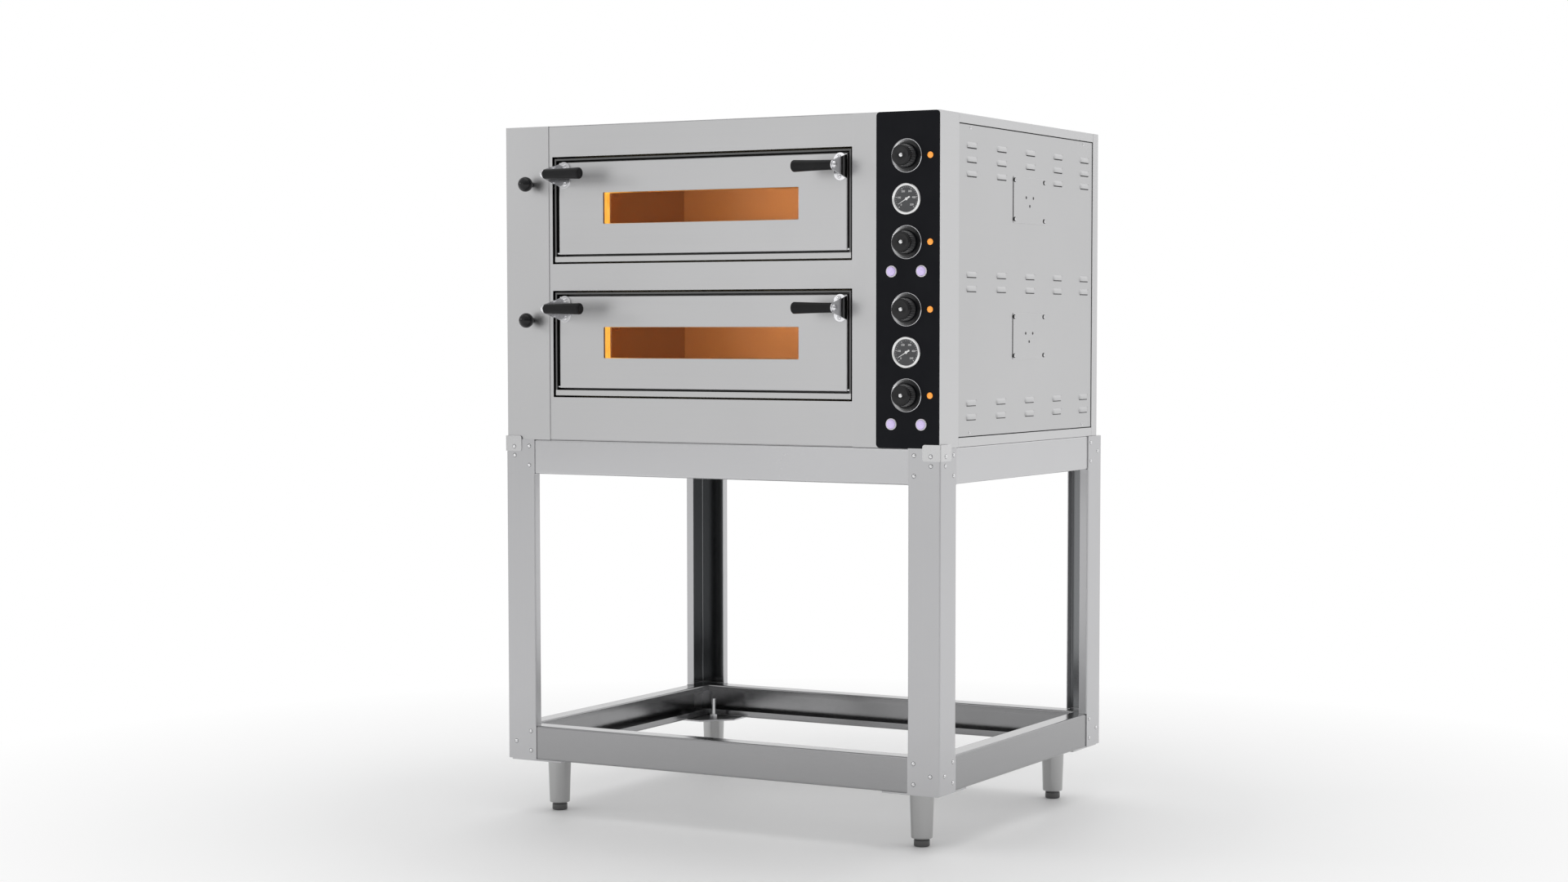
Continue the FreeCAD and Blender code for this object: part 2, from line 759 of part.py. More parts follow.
LOUVER_ROWS = (("louver_top_row + 2 * louver_row_pitch", 5), ("louver_top_row + louver_row_pitch", 5),
               ("louver_top_row", 4), ("louver_middle_row + louver_row_pitch", 5),
               ("louver_middle_row", 5), ("louver_bottom_row + louver_row_pitch", 5),
               ("louver_bottom_row", 5))


def louver(name, sign, column, level):
    """A pressed hood: a wedge on the panel's face that narrows outwards."""
    item = doc.addObject("Part::Wedge", name)
    ends = {"Xmin": "-(louver_length) / 2", "Xmax": "louver_length / 2",
            "X2min": "-(louver_length) / 2 + louver_taper", "X2max": "louver_length / 2 - louver_taper",
            "Ymin": "0", "Ymax": "louver_proud",
            "Zmin": "-(louver_height) / 2", "Zmax": "louver_height / 2",
            "Z2min": "-(louver_height) / 2", "Z2max": "-(louver_height) / 2 + louver_taper"}
    for edge, formula in ends.items():
        item.setExpression(edge, bind(formula))
    turn = FreeCAD.Rotation(FreeCAD.Vector(0, 0, 1), -90 * sign)
    face = f"{sign} * (panel_face)"
    return place(item, (face, f"front + louver_first + {column} * louver_pitch", f"base + {level}"),
                 turn)


def side_panel(name, sign):
    """The inner sheet of a side, lapped under the casing's edges, with rows of pressed hoods."""
    low = "panel_face - panel_sheet" if sign > 0 else "-(panel_face)"
    plate = box(f"{name}_sheet", (low, "front + pillar_return - panel_lap",
                                  "base + edge_flange - panel_lap"),
                ("panel_sheet", "body_depth - pillar_return - rear_return + 2 * panel_lap",
                 "body_height - 2 * edge_flange + 2 * panel_lap"))
    hoods = []
    for row_index, (level, count) in enumerate(LOUVER_ROWS):
        columns = [column for column in range(5) if count == 5 or column != 2]
        hoods += [louver(f"{name}_hood_{row_index}_{column}", sign, column, level)
                  for column in columns]
    return fuse(name, [plate] + hoods)


node("side_panel_left", side_panel("left_panel", -1))
node("side_panel_right", side_panel("right_panel", 1))

covers = []
for index in range(2):
    covers.append(box(f"access_cover_{index}",
                      ("panel_face", "front + cover_centre - cover_length / 2",
                       f"base + cover_lower + {index} * cover_pitch - cover_width / 2"),
                      ("cover_sheet", "cover_length", "cover_width")))
node("access_covers", group("access_covers_group", covers))

screws = []
for side, sign in (("left", -1), ("right", 1)):
    for column in ("panel_screw_front", "panel_screw_rear"):
        for level in ("panel_screw_low", "panel_screw_high"):
            spot = (f"{sign} * (panel_face)", f"front + {column}", f"base + {level}")
            screws.append(dome(f"screw_{side}_{column}_{level}", "panel_screw_radius",
                               "panel_screw_head", spot, "-X" if sign < 0 else "+X"))
for index in range(2):
    for step_y in (-1, 1):
        for step_z in (-1, 1):
            spot = ("panel_face + cover_sheet",
                    f"front + cover_centre + {step_y} * (cover_length / 2 - cover_screw_inset)",
                    f"base + cover_lower + {index} * cover_pitch"
                    f" + {step_z} * (cover_width / 2 - cover_screw_inset)")
            screws.append(dome(f"cover_screw_{index}_{step_y + 1}_{step_z + 1}",
                               "panel_screw_radius", "panel_screw_head", spot, "+X"))
node("casing_screws", group("casing_screws_group", screws))


# ---------------------------------------------------------------- decks
def mouth_frame(index):
    """The lined mouth of a chamber, with an inward lip that carries the door seal."""
    low = ("frame_left", "front + frame_recess", deck(index, "frame_gap"))
    size = ("frame_width", "frame_depth - frame_recess", "frame_height")
    tube = frame_ring(f"mouth_{index}", low, size, "frame_wall", "frame_wall", "frame_sill")
    lip_low = ("frame_left + frame_wall / 2", "seal_back", deck(index, "frame_gap + frame_wall / 2"))
    lip_size = ("frame_width - frame_wall", "seal_thickness", "frame_height - frame_wall")
    lip = frame_ring(f"mouth_lip_{index}", lip_low, lip_size, "seal_lip", "seal_lip",
                     "(seal_lip + frame_sill - frame_wall / 2)")
    holes = [rod(f"pin_hole_{index}_{side}", "hinge_pin_radius + hinge_clearance",
                 "frame_wall + 2", (x, "hinge_line", deck(index, "hinge_level")), "+X")
             for side, x in (("left", "frame_left - 1"),
                             ("right", "frame_left + frame_width - frame_wall - 1"))]
    return cut(f"mouth_frame_{index}", fuse(f"mouth_tube_{index}", [tube, lip]),
               group(f"pin_holes_{index}", holes))


node("mouth_frames", group("mouth_frames_group", [mouth_frame(index) for index in range(2)]))


def door_seal(index):
    """The rope seal between the door's back and the frame's lip."""
    low = ("door_left + door_sheet", "seal_front", deck(index, "door_low + door_sheet"))
    size = ("door_width - 2 * door_sheet", "seal_back - (seal_front)", "door_height - 2 * door_sheet")
    return frame_ring(f"door_seal_{index}", low, size, "seal_width", "seal_width", "seal_width")


node("door_seals", group("door_seals_group", [door_seal(index) for index in range(2)]))


def stone_supports(index):
    """Two bars under a stone, welded to the chamber floor."""
    bars = []
    for side in (-1, 1):
        bars.append(box(f"support_{index}_{side + 1}",
                        (f"deck_centre + {side} * element_pitch - support_width / 2",
                         "chamber_front + stone_gap", deck(index, "chamber_floor")),
                        ("support_width", "chamber_depth - 2 * stone_gap",
                         "stone_bottom - (chamber_floor)")))
    return bars


def chamber(index):
    """A sheet chamber behind the mouth, closed at the back, with a vent port on the left."""
    low = ("frame_left + frame_wall", "chamber_front", deck(index, "frame_gap + frame_wall"))
    outer = box(f"chamber_{index}_outer", low,
                ("chamber_width", "chamber_depth + chamber_sheet", "chamber_height"))
    inner = box(f"chamber_{index}_inner",
                (f"{low[0]} + chamber_sheet", "chamber_front - 1", f"{low[2]} + chamber_sheet"),
                ("chamber_width - 2 * chamber_sheet", "chamber_depth + 1",
                 "chamber_height - 2 * chamber_sheet"))
    port = rod(f"chamber_{index}_port", "port_radius", "chamber_sheet + 2",
               (f"{low[0]} - 1", "port_line", damper_level(index)), "+X")
    shell = cut(f"chamber_{index}_shell", outer, group(f"chamber_{index}_space", [inner, port]))
    return fuse(f"chamber_{index}", [shell] + stone_supports(index))


node("chamber_lower", chamber(0))
node("chamber_upper", chamber(1))


def stone(index):
    """A baking stone resting on the chamber's two bars."""
    return box(f"stone_{index}",
               ("frame_left + frame_wall + chamber_sheet + stone_gap", "chamber_front + stone_gap",
                deck(index, "stone_bottom")),
               ("chamber_width - 2 * chamber_sheet - 2 * stone_gap",
                "chamber_depth - 2 * stone_gap", "stone_thickness"))


node("deck_stones", group("deck_stones_group", [stone(index) for index in range(2)]))


def element(name, x, level):
    """A rod element bent into a long U: two legs from the chamber's back and a half ring."""
    near = "chamber_back - element_length"
    legs = [rod(f"{name}_leg_{side + 1}", "element_radius", "element_length",
                (f"{x} + {side} * element_spacing / 2", near, level), "+Y") for side in (-1, 1)]
    bend = doc.addObject("Part::Torus", f"{name}_bend")
    bend.setExpression("Radius1", bind("element_spacing / 2"))
    bend.setExpression("Radius2", bind("element_radius"))
    bend.setExpression("Angle3", "180")
    place(bend, (x, near, level), FreeCAD.Rotation(FreeCAD.Vector(0, 0, 1), 180))
    return fuse(name, legs + [bend])


elements = []
for index in range(2):
    for layer, level in (("floor", "chamber_floor + element_radius + element_clearance"),
                         ("roof", "chamber_roof - element_radius - element_clearance")):
        for step, pair in enumerate((-1.5, -0.5, 0.5, 1.5)):
            elements.append(element(f"element_{index}_{layer}_{step}",
                                    f"deck_centre + {pair} * element_pitch", deck(index, level)))
node("heating_elements", group("heating_elements_group", elements))

slab_low = ["base + casing_sheet", deck(0, "frame_gap + frame_height - frame_wall"),
            deck(1, "frame_gap + frame_height - frame_wall")]
slab_high = [deck(0, "frame_gap + frame_wall"), deck(1, "frame_gap + frame_wall"),
             "base + body_height - casing_sheet"]
slabs = [box(f"slab_{index}",
             ("frame_left + frame_wall", "chamber_front", f"{low} + insulation_gap"),
             ("chamber_width", "chamber_depth", f"{high} - ({low}) - 2 * insulation_gap"))
         for index, (low, high) in enumerate(zip(slab_low, slab_high))]
node("insulation", group("insulation_group", slabs))


# ---------------------------------------------------------------- vents and inlet
def duct():
    """An upright box duct at the left, a port tube to each chamber and a pipe to the rear."""
    low = ("duct_left", "duct_face", "base + duct_bottom")
    outer = box("duct_outer", low, ("duct_width", "duct_depth", "duct_top - duct_bottom"))
    inner = box("duct_inner", tuple(f"{edge} + duct_wall" for edge in low),
                ("duct_width - 2 * duct_wall", "duct_depth - 2 * duct_wall",
                 "duct_top - duct_bottom - 2 * duct_wall"))
    right = "duct_left + duct_width"
    port_length = "frame_left + frame_wall - duct_left - duct_width"
    ports, spaces = [], [inner]
    for index in range(2):
        level = damper_level(index)
        ports.append(rod(f"port_{index}", "port_radius + port_wall", port_length,
                         (right, "port_line", level), "+X"))
        spaces.append(rod(f"port_space_{index}", "port_radius", f"{port_length} + 3 * duct_wall",
                          (f"{right} - 2 * duct_wall", "port_line", level), "+X"))
        spaces.append(rod(f"duct_rod_hole_{index}", "damper_rod_radius + damper_clearance",
                          "3 * duct_wall", ("damper_column", "duct_face - duct_wall", level), "+Y"))
    pipe_start = "duct_face + duct_depth"
    pipe_length = "rear_reach - duct_front - duct_depth"
    pipe = rod("flue_pipe", "flue_radius", pipe_length,
               ("damper_column", pipe_start, "base + flue_height"), "+Y")
    collar = rod("flue_collar", "flue_radius + flue_collar_width", "flue_collar_sheet",
                 ("damper_column", "rear_face", "base + flue_height"), "+Y")
    spaces.append(rod("flue_space", "flue_radius - flue_wall", f"{pipe_length} + 4 * duct_wall",
                      ("damper_column", f"{pipe_start} - 2 * duct_wall", "base + flue_height"), "+Y"))
    return cut("duct_cut", fuse("duct_walls", [outer, pipe, collar] + ports),
               group("duct_spaces", spaces))


node("flue_duct", duct())

gland_body = rod("gland_body", "gland_radius", "gland_length",
                 ("gland_column", "rear_face", "base + gland_height"), "+Y")
gland_neck = rod("gland_neck", "gland_bore + flue_hole_gap", "gland_length",
                 ("gland_column", "rear_face - gland_length", "base + gland_height"), "+Y")
gland_space = rod("gland_space", "gland_bore", "2 * gland_length + 2",
                  ("gland_column", "rear_face - gland_length - 1", "base + gland_height"), "+Y")
node("cable_gland", cut("gland_cut", fuse("gland_solid", [gland_body, gland_neck]), gland_space))


def damper(index):
    """A ball on a rod that carries a shutter across a chamber's vent port."""
    level = damper_level(index)
    knob = ball(f"damper_{index}_ball", "damper_ball_radius",
                ("damper_column", "pillar_face - damper_reach + damper_ball_radius", level))
    start = "pillar_face - damper_reach + damper_ball_radius"
    arm_line = "port_line - damper_plate_size / 2"
    stem = rod(f"damper_{index}_rod", "damper_rod_radius", f"{arm_line} + damper_plate - ({start})",
               ("damper_column", start, level), "+Y")
    plate_x = "duct_left + duct_width - duct_wall - damper_clearance - damper_plate"
    shutter = box(f"damper_{index}_shutter", (plate_x, arm_line, f"{level} - damper_plate_size / 2"),
                  ("damper_plate", "damper_plate_size", "damper_plate_size"))
    arm = box(f"damper_{index}_arm", ("damper_column", arm_line, f"{level} - damper_arm / 2"),
              (f"{plate_x} + damper_plate - damper_column", "damper_plate", "damper_arm"))
    return fuse(f"damper_{index}", [knob, stem, arm, shutter])


node("vent_damper_lower", damper(0))
node("vent_damper_upper", damper(1))


# ---------------------------------------------------------------- controls
def rounded_plate(name, x, y, z, wide, thick, high, corner):
    """A flat plate standing across Y with four round corners."""
    parts = [box(f"{name}_upright", (f"{x} + {corner}", y, z), (f"{wide} - 2 * {corner}", thick, high)),
             box(f"{name}_across", (x, y, f"{z} + {corner}"), (wide, thick, f"{high} - 2 * {corner}"))]
    for step, (right, top) in enumerate(((0, 0), (1, 0), (0, 1), (1, 1))):
        centre_x = f"{x} + {wide} - {corner}" if right else f"{x} + {corner}"
        centre_z = f"{z} + {high} - {corner}" if top else f"{z} + {corner}"
        parts.append(rod(f"{name}_corner_{step}", corner, thick, (centre_x, y, centre_z), "+Y"))
    return fuse(name, parts)


plate = rounded_plate("plate", "plate_left", "plate_face", "base", "plate_width",
                      "plate_thickness", "body_height", "plate_corner")
node("control_plate", cut("plate_cut", plate, control_holes))


def ring(name, radius, wall, start, length):
    """A flat ring standing forward of the control plate."""
    outer = rod(f"{name}_outer", radius, length, start, "-Y")
    inner_start = (start[0], f"{start[1]} + 1", start[2])
    inner = rod(f"{name}_inner", f"{radius} - {wall}", f"{length} + 2", inner_start, "-Y")
    return cut(name, outer, inner)


def on_plate(level, column="control_column"):
    """A point on the control plate's face."""
    return column, "plate_face", level


bezels = [ring(f"bezel_{index}", "bezel_radius", "bezel_ring", on_plate(level), "bezel_proud")
          for index, level in enumerate(knob_levels)]
node("knob_bezels", group("knob_bezels_group", bezels))

thermostats = []
for index, level in enumerate(knob_levels):
    case = box(f"thermostat_{index}_case",
               ("control_column - thermostat_width / 2", "front", f"{level} - thermostat_width / 2"),
               ("thermostat_width", "thermostat_depth", "thermostat_width"))
    bore = rod(f"thermostat_{index}_bore", "shaft_radius + shaft_clearance", "shaft_reach + 1",
               ("control_column", "front - 1", level), "+Y")
    thermostats.append(cut(f"thermostat_{index}", case, bore))
node("thermostats", group("thermostats_group", thermostats))

KNOB_NAMES = ("lower_deck_floor", "lower_deck_roof", "upper_deck_floor", "upper_deck_roof")
for knob_name, level in zip(KNOB_NAMES, knob_levels):
    cap = rod(f"{knob_name}_cap", "knob_radius", "knob_length",
              ("control_column", "plate_face - knob_gap", level), "-Y")
    shaft = rod(f"{knob_name}_shaft", "shaft_radius",
                "knob_gap + plate_thickness + casing_sheet + shaft_reach - 1",
                ("control_column", "plate_face - knob_gap", level), "+Y")
    node(f"knob_{knob_name}", fuse(f"{knob_name}_knob", [cap, shaft]))

DECK_NAMES = ("lower", "upper")
HAND_ANGLE = math.radians(SIZES["pointer_angle"])
HAND_TURN = FreeCAD.Rotation(
    FreeCAD.Vector(-math.cos(HAND_ANGLE), 0, -math.sin(HAND_ANGLE)),
    FreeCAD.Vector(math.sin(HAND_ANGLE), 0, -math.cos(HAND_ANGLE)),
    FreeCAD.Vector(0, -1, 0), "ZXY")
HAND_OUTLINE = [("-(pointer_tail)", "-(pointer_width)"), ("0", "-(pointer_width)"),
                ("pointer_length", "-(pointer_tip) / 2"), ("pointer_length", "pointer_tip / 2"),
                ("0", "pointer_width"), ("-(pointer_tail)", "pointer_width")]
gauges = []
for index, level in enumerate(gauge_levels):
    case = rod(f"gauge_{index}_case", "gauge_radius", "gauge_proud", on_plate(level), "-Y")
    well = rod(f"gauge_{index}_well", "gauge_radius - gauge_rim", "gauge_proud",
               ("control_column", "plate_face - gauge_floor", level), "-Y")
    gauges.append(cut(f"gauge_{index}", case, well))
    pointer_back = "plate_face - gauge_floor - pointer_gap"
    hub = rod(f"pointer_{index}_hub", "pointer_hub", "pointer_thickness",
              ("control_column", pointer_back, level), "-Y")
    hand = profile_body(f"pointer_{index}_hand", "XY_Plane", HAND_OUTLINE, "pointer_thickness",
                        ("control_column", pointer_back, level), HAND_TURN)
    node(f"gauge_pointer_{DECK_NAMES[index]}", fuse(f"pointer_{index}", [hub, hand]))
node("gauge_cases", group("gauge_cases_group", gauges))

lamps = []
for index, level in enumerate(knob_levels):
    lens = rod(f"lamp_{index}_lens", "lamp_radius", "lamp_proud",
               on_plate(level, "lamp_column"), "-Y")
    neck = rod(f"lamp_{index}_neck", "lamp_neck_radius", "lamp_depth",
               on_plate(level, "lamp_column"), "+Y")
    lamps.append(fuse(f"lamp_{index}", [lens, neck]))
node("pilot_lamps", group("pilot_lamps_group", lamps))

collars = []
for index, (spot_x, level) in enumerate(button_spots):
    flange = rod(f"collar_{index}_flange", "collar_radius", "collar_proud",
                 (spot_x, "plate_face", level), "-Y")
    sleeve = rod(f"collar_{index}_sleeve", "collar_neck_radius", "collar_depth",
                 (spot_x, "plate_face", level), "+Y")
    bore = rod(f"collar_{index}_bore", "collar_radius - collar_wall",
               "collar_proud + collar_depth + 2",
               (spot_x, "plate_face - collar_proud - 1", level), "+Y")
    collars.append(cut(f"collar_{index}", fuse(f"collar_{index}_solid", [flange, sleeve]), bore))
node("button_collars", group("button_collars_group", collars))

BUTTON_NAMES = ("lower_lamp", "lower_power", "upper_lamp", "upper_power")
for button_name, (spot_x, level) in zip(BUTTON_NAMES, button_spots):
    node(f"button_{button_name}",
         rod(f"{button_name}_push", "collar_radius - collar_wall - button_clearance",
             "button_length", (spot_x, "plate_face - collar_proud - button_proud", level), "+Y"))


# ---------------------------------------------------------------- doors
def hinge_pins(index):
    """Two short pins on the door's lower edge that turn in the mouth frame."""
    length = "frame_wall + door_side_gap + hinge_pin_hold"
    level = deck(index, "hinge_level")
    return [rod(f"hinge_pin_{index}_left", "hinge_pin_radius", length,
                ("frame_left", "hinge_line", level), "+X"),
            rod(f"hinge_pin_{index}_right", "hinge_pin_radius", length,
                ("door_right - hinge_pin_hold", "hinge_line", level), "+X")]


def window_space(name, index, margin="0"):
    """A block through the whole door at the window, grown by a margin on each side."""
    return box(name, (f"window_left - {margin}", "door_face - 1",
                      deck(index, f"window_low - {margin}")),
               (f"window_width + 2 * {margin}", "door_depth + 2", f"window_height + 2 * {margin}"))


def door_skin(index, pins):
    """The outer sheet with its edges folded back and the window cut out."""
    outer = box(f"skin_{index}_outer", ("door_left", "door_face", deck(index, "door_low")),
                ("door_width", "door_fold", "door_height"))
    inner = box(f"skin_{index}_inner",
                ("door_left + door_sheet", "door_face + door_sheet",
                 deck(index, "door_low + door_sheet")),
                ("door_width - 2 * door_sheet", "door_fold", "door_height - 2 * door_sheet"))
    spaces = [inner, window_space(f"skin_{index}_window", index)] + pins
    return cut(f"door_skin_{index}", outer, group(f"skin_{index}_spaces", spaces))


def door_liner(index, pins):
    """The inner pan with a tunnel round the window that holds the front pane to the skin."""
    low = ("door_left + door_sheet", "door_face + door_sheet", deck(index, "door_low + door_sheet"))
    size = ("door_width - 2 * door_sheet", "door_depth - door_sheet", "door_height - 2 * door_sheet")
    outer = box(f"liner_{index}_outer", low, size)
    inner = box(f"liner_{index}_inner",
                (f"{low[0]} + door_sheet", "door_face", f"{low[2]} + door_sheet"),
                ("door_width - 4 * door_sheet", "door_depth - door_sheet",
                 "door_height - 4 * door_sheet"))
    pan = cut(f"liner_{index}_pan", outer, inner)
    tunnel = box(f"liner_{index}_tunnel",
                 ("window_left - door_sheet", "door_face + door_sheet + pane_thickness",
                  deck(index, "window_low - door_sheet")),
                 ("window_width + 2 * door_sheet", "door_depth - door_sheet - pane_thickness",
                  "window_height + 2 * door_sheet"))
    spaces = [window_space(f"liner_{index}_window", index)] + pins
    return cut(f"door_liner_{index}", fuse(f"liner_{index}_solid", [pan, tunnel]),
               group(f"liner_{index}_spaces", spaces))


def window_glass(index):
    """Two panes: one behind the skin and one in the tunnel near the door's back."""
    front_pane = box(f"pane_{index}_front",
                     ("window_left - pane_lap", "door_face + door_sheet",
                      deck(index, "window_low - pane_lap")),
                     ("window_width + 2 * pane_lap", "pane_thickness",
                      "window_height + 2 * pane_lap"))
    rear_pane = box(f"pane_{index}_rear",
                    ("window_left", "door_back - pane_inset - pane_thickness",
                     deck(index, "window_low")),
                    ("window_width", "pane_thickness", "window_height"))
    return group(f"window_glass_{index}", [front_pane, rear_pane])


GUSSET_TURN = FreeCAD.Rotation(FreeCAD.Vector(0, -1, 0), FreeCAD.Vector(0, 0, 1),
                               FreeCAD.Vector(-1, 0, 0), "ZXY")


def handle(index, side):
    """One door handle: a gusseted bracket with its stud and screws, and a tapered grip."""
    name = f"handle_{index}_{side}"
    left = side == "left"
    level = deck(index, "grip_level")
    edge = "door_left" if left else "door_right"
    inward = 1 if left else -1
    reach = "grip_reach + door_recess"
    eye = "bracket_eye_radius"
    outline = [("0", "-(bracket_height) / 2"), (reach, f"-({eye})"), (reach, eye),
               ("0", "bracket_height / 2")]
    gusset_x = "door_left + bracket_plate" if left else "door_right"
    gusset = profile_body(f"{name}_gusset", "XY_Plane", outline, "bracket_plate",
                          (gusset_x, "door_face", level), GUSSET_TURN)
    inner_face = f"{edge} + {inward} * bracket_plate"
    outer_face = "door_left" if left else "door_right - bracket_plate"
    round_eye = rod(f"{name}_eye", eye, "bracket_plate", (outer_face, "grip_line", level), "+X")
    plate_x = "door_left" if left else "door_right - bracket_plate_width"
    foot = box(f"{name}_plate", (plate_x, "door_face - bracket_plate",
                                 f"{level} - bracket_height / 2"),
               ("bracket_plate_width", "bracket_plate", "bracket_height"))
    axis = "+X" if left else "-X"
    away = "-X" if left else "+X"
    stud = rod(f"{name}_stud", "stud_radius", "bracket_plate + stud_hold",
               (edge, "grip_line", level), axis)
    nut = hexagon(f"{name}_nut", "nut_radius", "nut_length", (edge, "grip_line", level), away)
    bracket = cut(f"{name}_bracket", fuse(f"{name}_solid", [gusset, round_eye, foot]), stud)
    pieces = [bracket, fuse(f"{name}_stud_set", [stud, nut])]
    for step in (-1, 1):
        spot = (f"{edge} + {inward} * (bracket_plate + bracket_plate_width) / 2",
                "door_face - bracket_plate", f"{level} + {step} * bracket_screw_spacing / 2")
        pieces.append(dome(f"{name}_screw_{step + 1}", "bracket_screw_radius",
                           "panel_screw_head", spot, "-Y"))
    taper = cone(f"{name}_taper", "grip_root_radius", "grip_radius", "grip_length - grip_round",
                 (inner_face, "grip_line", level), axis)
    end = cone(f"{name}_end", "grip_radius", "grip_radius - grip_round", "grip_round",
               (f"{inner_face} + {inward} * (grip_length - grip_round)", "grip_line", level), axis)
    grip = cut(f"{name}_grip", fuse(f"{name}_grip_solid", [taper, end]), stud)
    return pieces, grip


for index, deck_name in enumerate(DECK_NAMES):
    pins = hinge_pins(index)
    node(f"door_skin_{deck_name}", door_skin(index, pins))
    node(f"door_liner_{deck_name}", door_liner(index, pins))
    node(f"window_glass_{deck_name}", window_glass(index))
    node(f"hinge_pins_{deck_name}", group(f"hinge_pins_{index}", pins))
    left_pieces, left_grip = handle(index, "left")
    right_pieces, right_grip = handle(index, "right")
    node(f"handle_brackets_{deck_name}", group(f"brackets_{index}", left_pieces + right_pieces))
    node(f"handle_grips_{deck_name}", group(f"grips_{index}", [left_grip, right_grip]))


# ---------------------------------------------------------------- check and write
doc.recompute()
failed = [item.Name for item in doc.Objects if "Invalid" in item.State or "Error" in item.State]
if failed:
    raise RuntimeError(f"objects that failed: {failed}")
for label, item in nodes.items():
    if item.Shape.isNull() or not item.Shape.isValid() or item.Shape.Volume <= 0:
        raise RuntimeError(f"no sound solid in {label}")

os.makedirs("parts", exist_ok=True)
for label, item in nodes.items():
    item.Shape.exportStep(f"parts/{label}.step")
print(f"{len(nodes)} nodes written")
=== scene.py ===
"""A two-deck electric pizza oven with drop-down doors on an open four-legged stand.

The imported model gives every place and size. This script adds the finer surfaces and the finishes:
bent and softened sheet edges, domed rivets, turned knobs, printed gauge dials, pressed louvers,
amber door windows over warm baking chambers, and the studio around the oven.
"""

import logging
import math
from dataclasses import dataclass
from enum import Enum

import bmesh
import bpy
import numpy as np
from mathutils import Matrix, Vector


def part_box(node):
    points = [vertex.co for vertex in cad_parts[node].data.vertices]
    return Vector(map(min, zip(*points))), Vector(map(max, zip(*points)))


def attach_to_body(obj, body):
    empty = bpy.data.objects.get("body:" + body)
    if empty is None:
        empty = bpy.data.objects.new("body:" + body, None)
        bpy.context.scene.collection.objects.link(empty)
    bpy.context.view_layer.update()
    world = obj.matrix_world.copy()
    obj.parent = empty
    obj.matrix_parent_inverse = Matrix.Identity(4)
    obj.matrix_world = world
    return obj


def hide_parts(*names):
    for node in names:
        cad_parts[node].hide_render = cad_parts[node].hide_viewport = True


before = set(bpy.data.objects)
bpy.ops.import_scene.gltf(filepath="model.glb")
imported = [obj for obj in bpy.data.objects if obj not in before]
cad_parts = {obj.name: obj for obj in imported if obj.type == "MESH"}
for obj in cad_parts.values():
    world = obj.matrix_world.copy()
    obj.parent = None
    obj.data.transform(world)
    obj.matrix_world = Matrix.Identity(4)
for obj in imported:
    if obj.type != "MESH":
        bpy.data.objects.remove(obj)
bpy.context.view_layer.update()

Array = np.ndarray
Point = tuple[float, float, float]
LOG = logging.getLogger("pizza_oven")
MM = 0.001
WELD = 1e-6
CRISP = 32.0
OVEN_MIDDLE = (0.0, 0.02, 0.5)
X_WAY, Y_WAY, Z_WAY = np.eye(3)
DECKS = ("lower", "upper")


class Facing(Enum):
    """Which way a turned or pressed piece points: its u, v and w directions as rows."""

    FRONT = ((1, 0, 0), (0, 0, 1), (0, -1, 0))
    REAR = ((-1, 0, 0), (0, 0, 1), (0, 1, 0))
    RIGHT = ((0, 1, 0), (0, 0, 1), (1, 0, 0))
    LEFT = ((0, -1, 0), (0, 0, 1), (-1, 0, 0))
    UP = ((1, 0, 0), (0, 1, 0), (0, 0, 1))
    DOWN = ((1, 0, 0), (0, -1, 0), (0, 0, -1))

    def place(self, points: Array, origin: Point) -> Array:
        """Turns points from u, v, w to the oven's axes and moves them to the origin given.

        Args:
            points: any array whose last axis is u, v, w, in metres.
            origin: where u = v = w = 0 goes, in metres.

        Returns:
            The points in the oven's axes: each is origin + u U + v V + w W.
        """
        return points @ np.array(self.value, float) + np.array(origin, float)


def arc(radius: float, start: float, end: float, steps: int) -> Array:
    """Points (radius cos a, radius sin a), with a evenly spaced from start to end, in degrees."""
    angle = np.radians(np.linspace(start, end, steps))
    return radius * np.stack([np.cos(angle), np.sin(angle)], -1)


def dome(radius: float, height: float, base: float, steps: int) -> Array:
    """A quarter of an ellipse: (radius cos a, base + height sin a), a from 0 to 90 degrees."""
    return arc(1.0, 0, 90, steps) * (radius, height) + (0, base)


def raised(outline: Array, levels: tuple[float, ...]) -> Array:
    """Loops (u, v, w): one outline (u, v) repeated at each level w."""
    return np.stack([np.column_stack([outline, np.full(len(outline), level)])
                     for level in levels])


def rounded_rectangle(width: float, height: float, corner: float, steps: int = 6) -> Array:
    """A closed loop round a rectangle about the origin: four quarter arcs of the corner's radius.

    Args:
        width: full size along u.
        height: full size along v.
        corner: radius of the corners, kept above zero.
        steps: points on each quarter arc.

    Returns:
        An array of 4 * steps points (u, v), anticlockwise from the right-hand side.
    """
    radius = max(min(corner, width / 2, height / 2), 1e-5)
    centres = np.array([(1, 1), (-1, 1), (-1, -1), (1, -1)], float)
    centres *= np.array([width / 2 - radius, height / 2 - radius])
    quarters = [arc(radius, 90 * turn, 90 * turn + 90, steps) + centres[turn] for turn in range(4)]
    return np.concatenate(quarters)


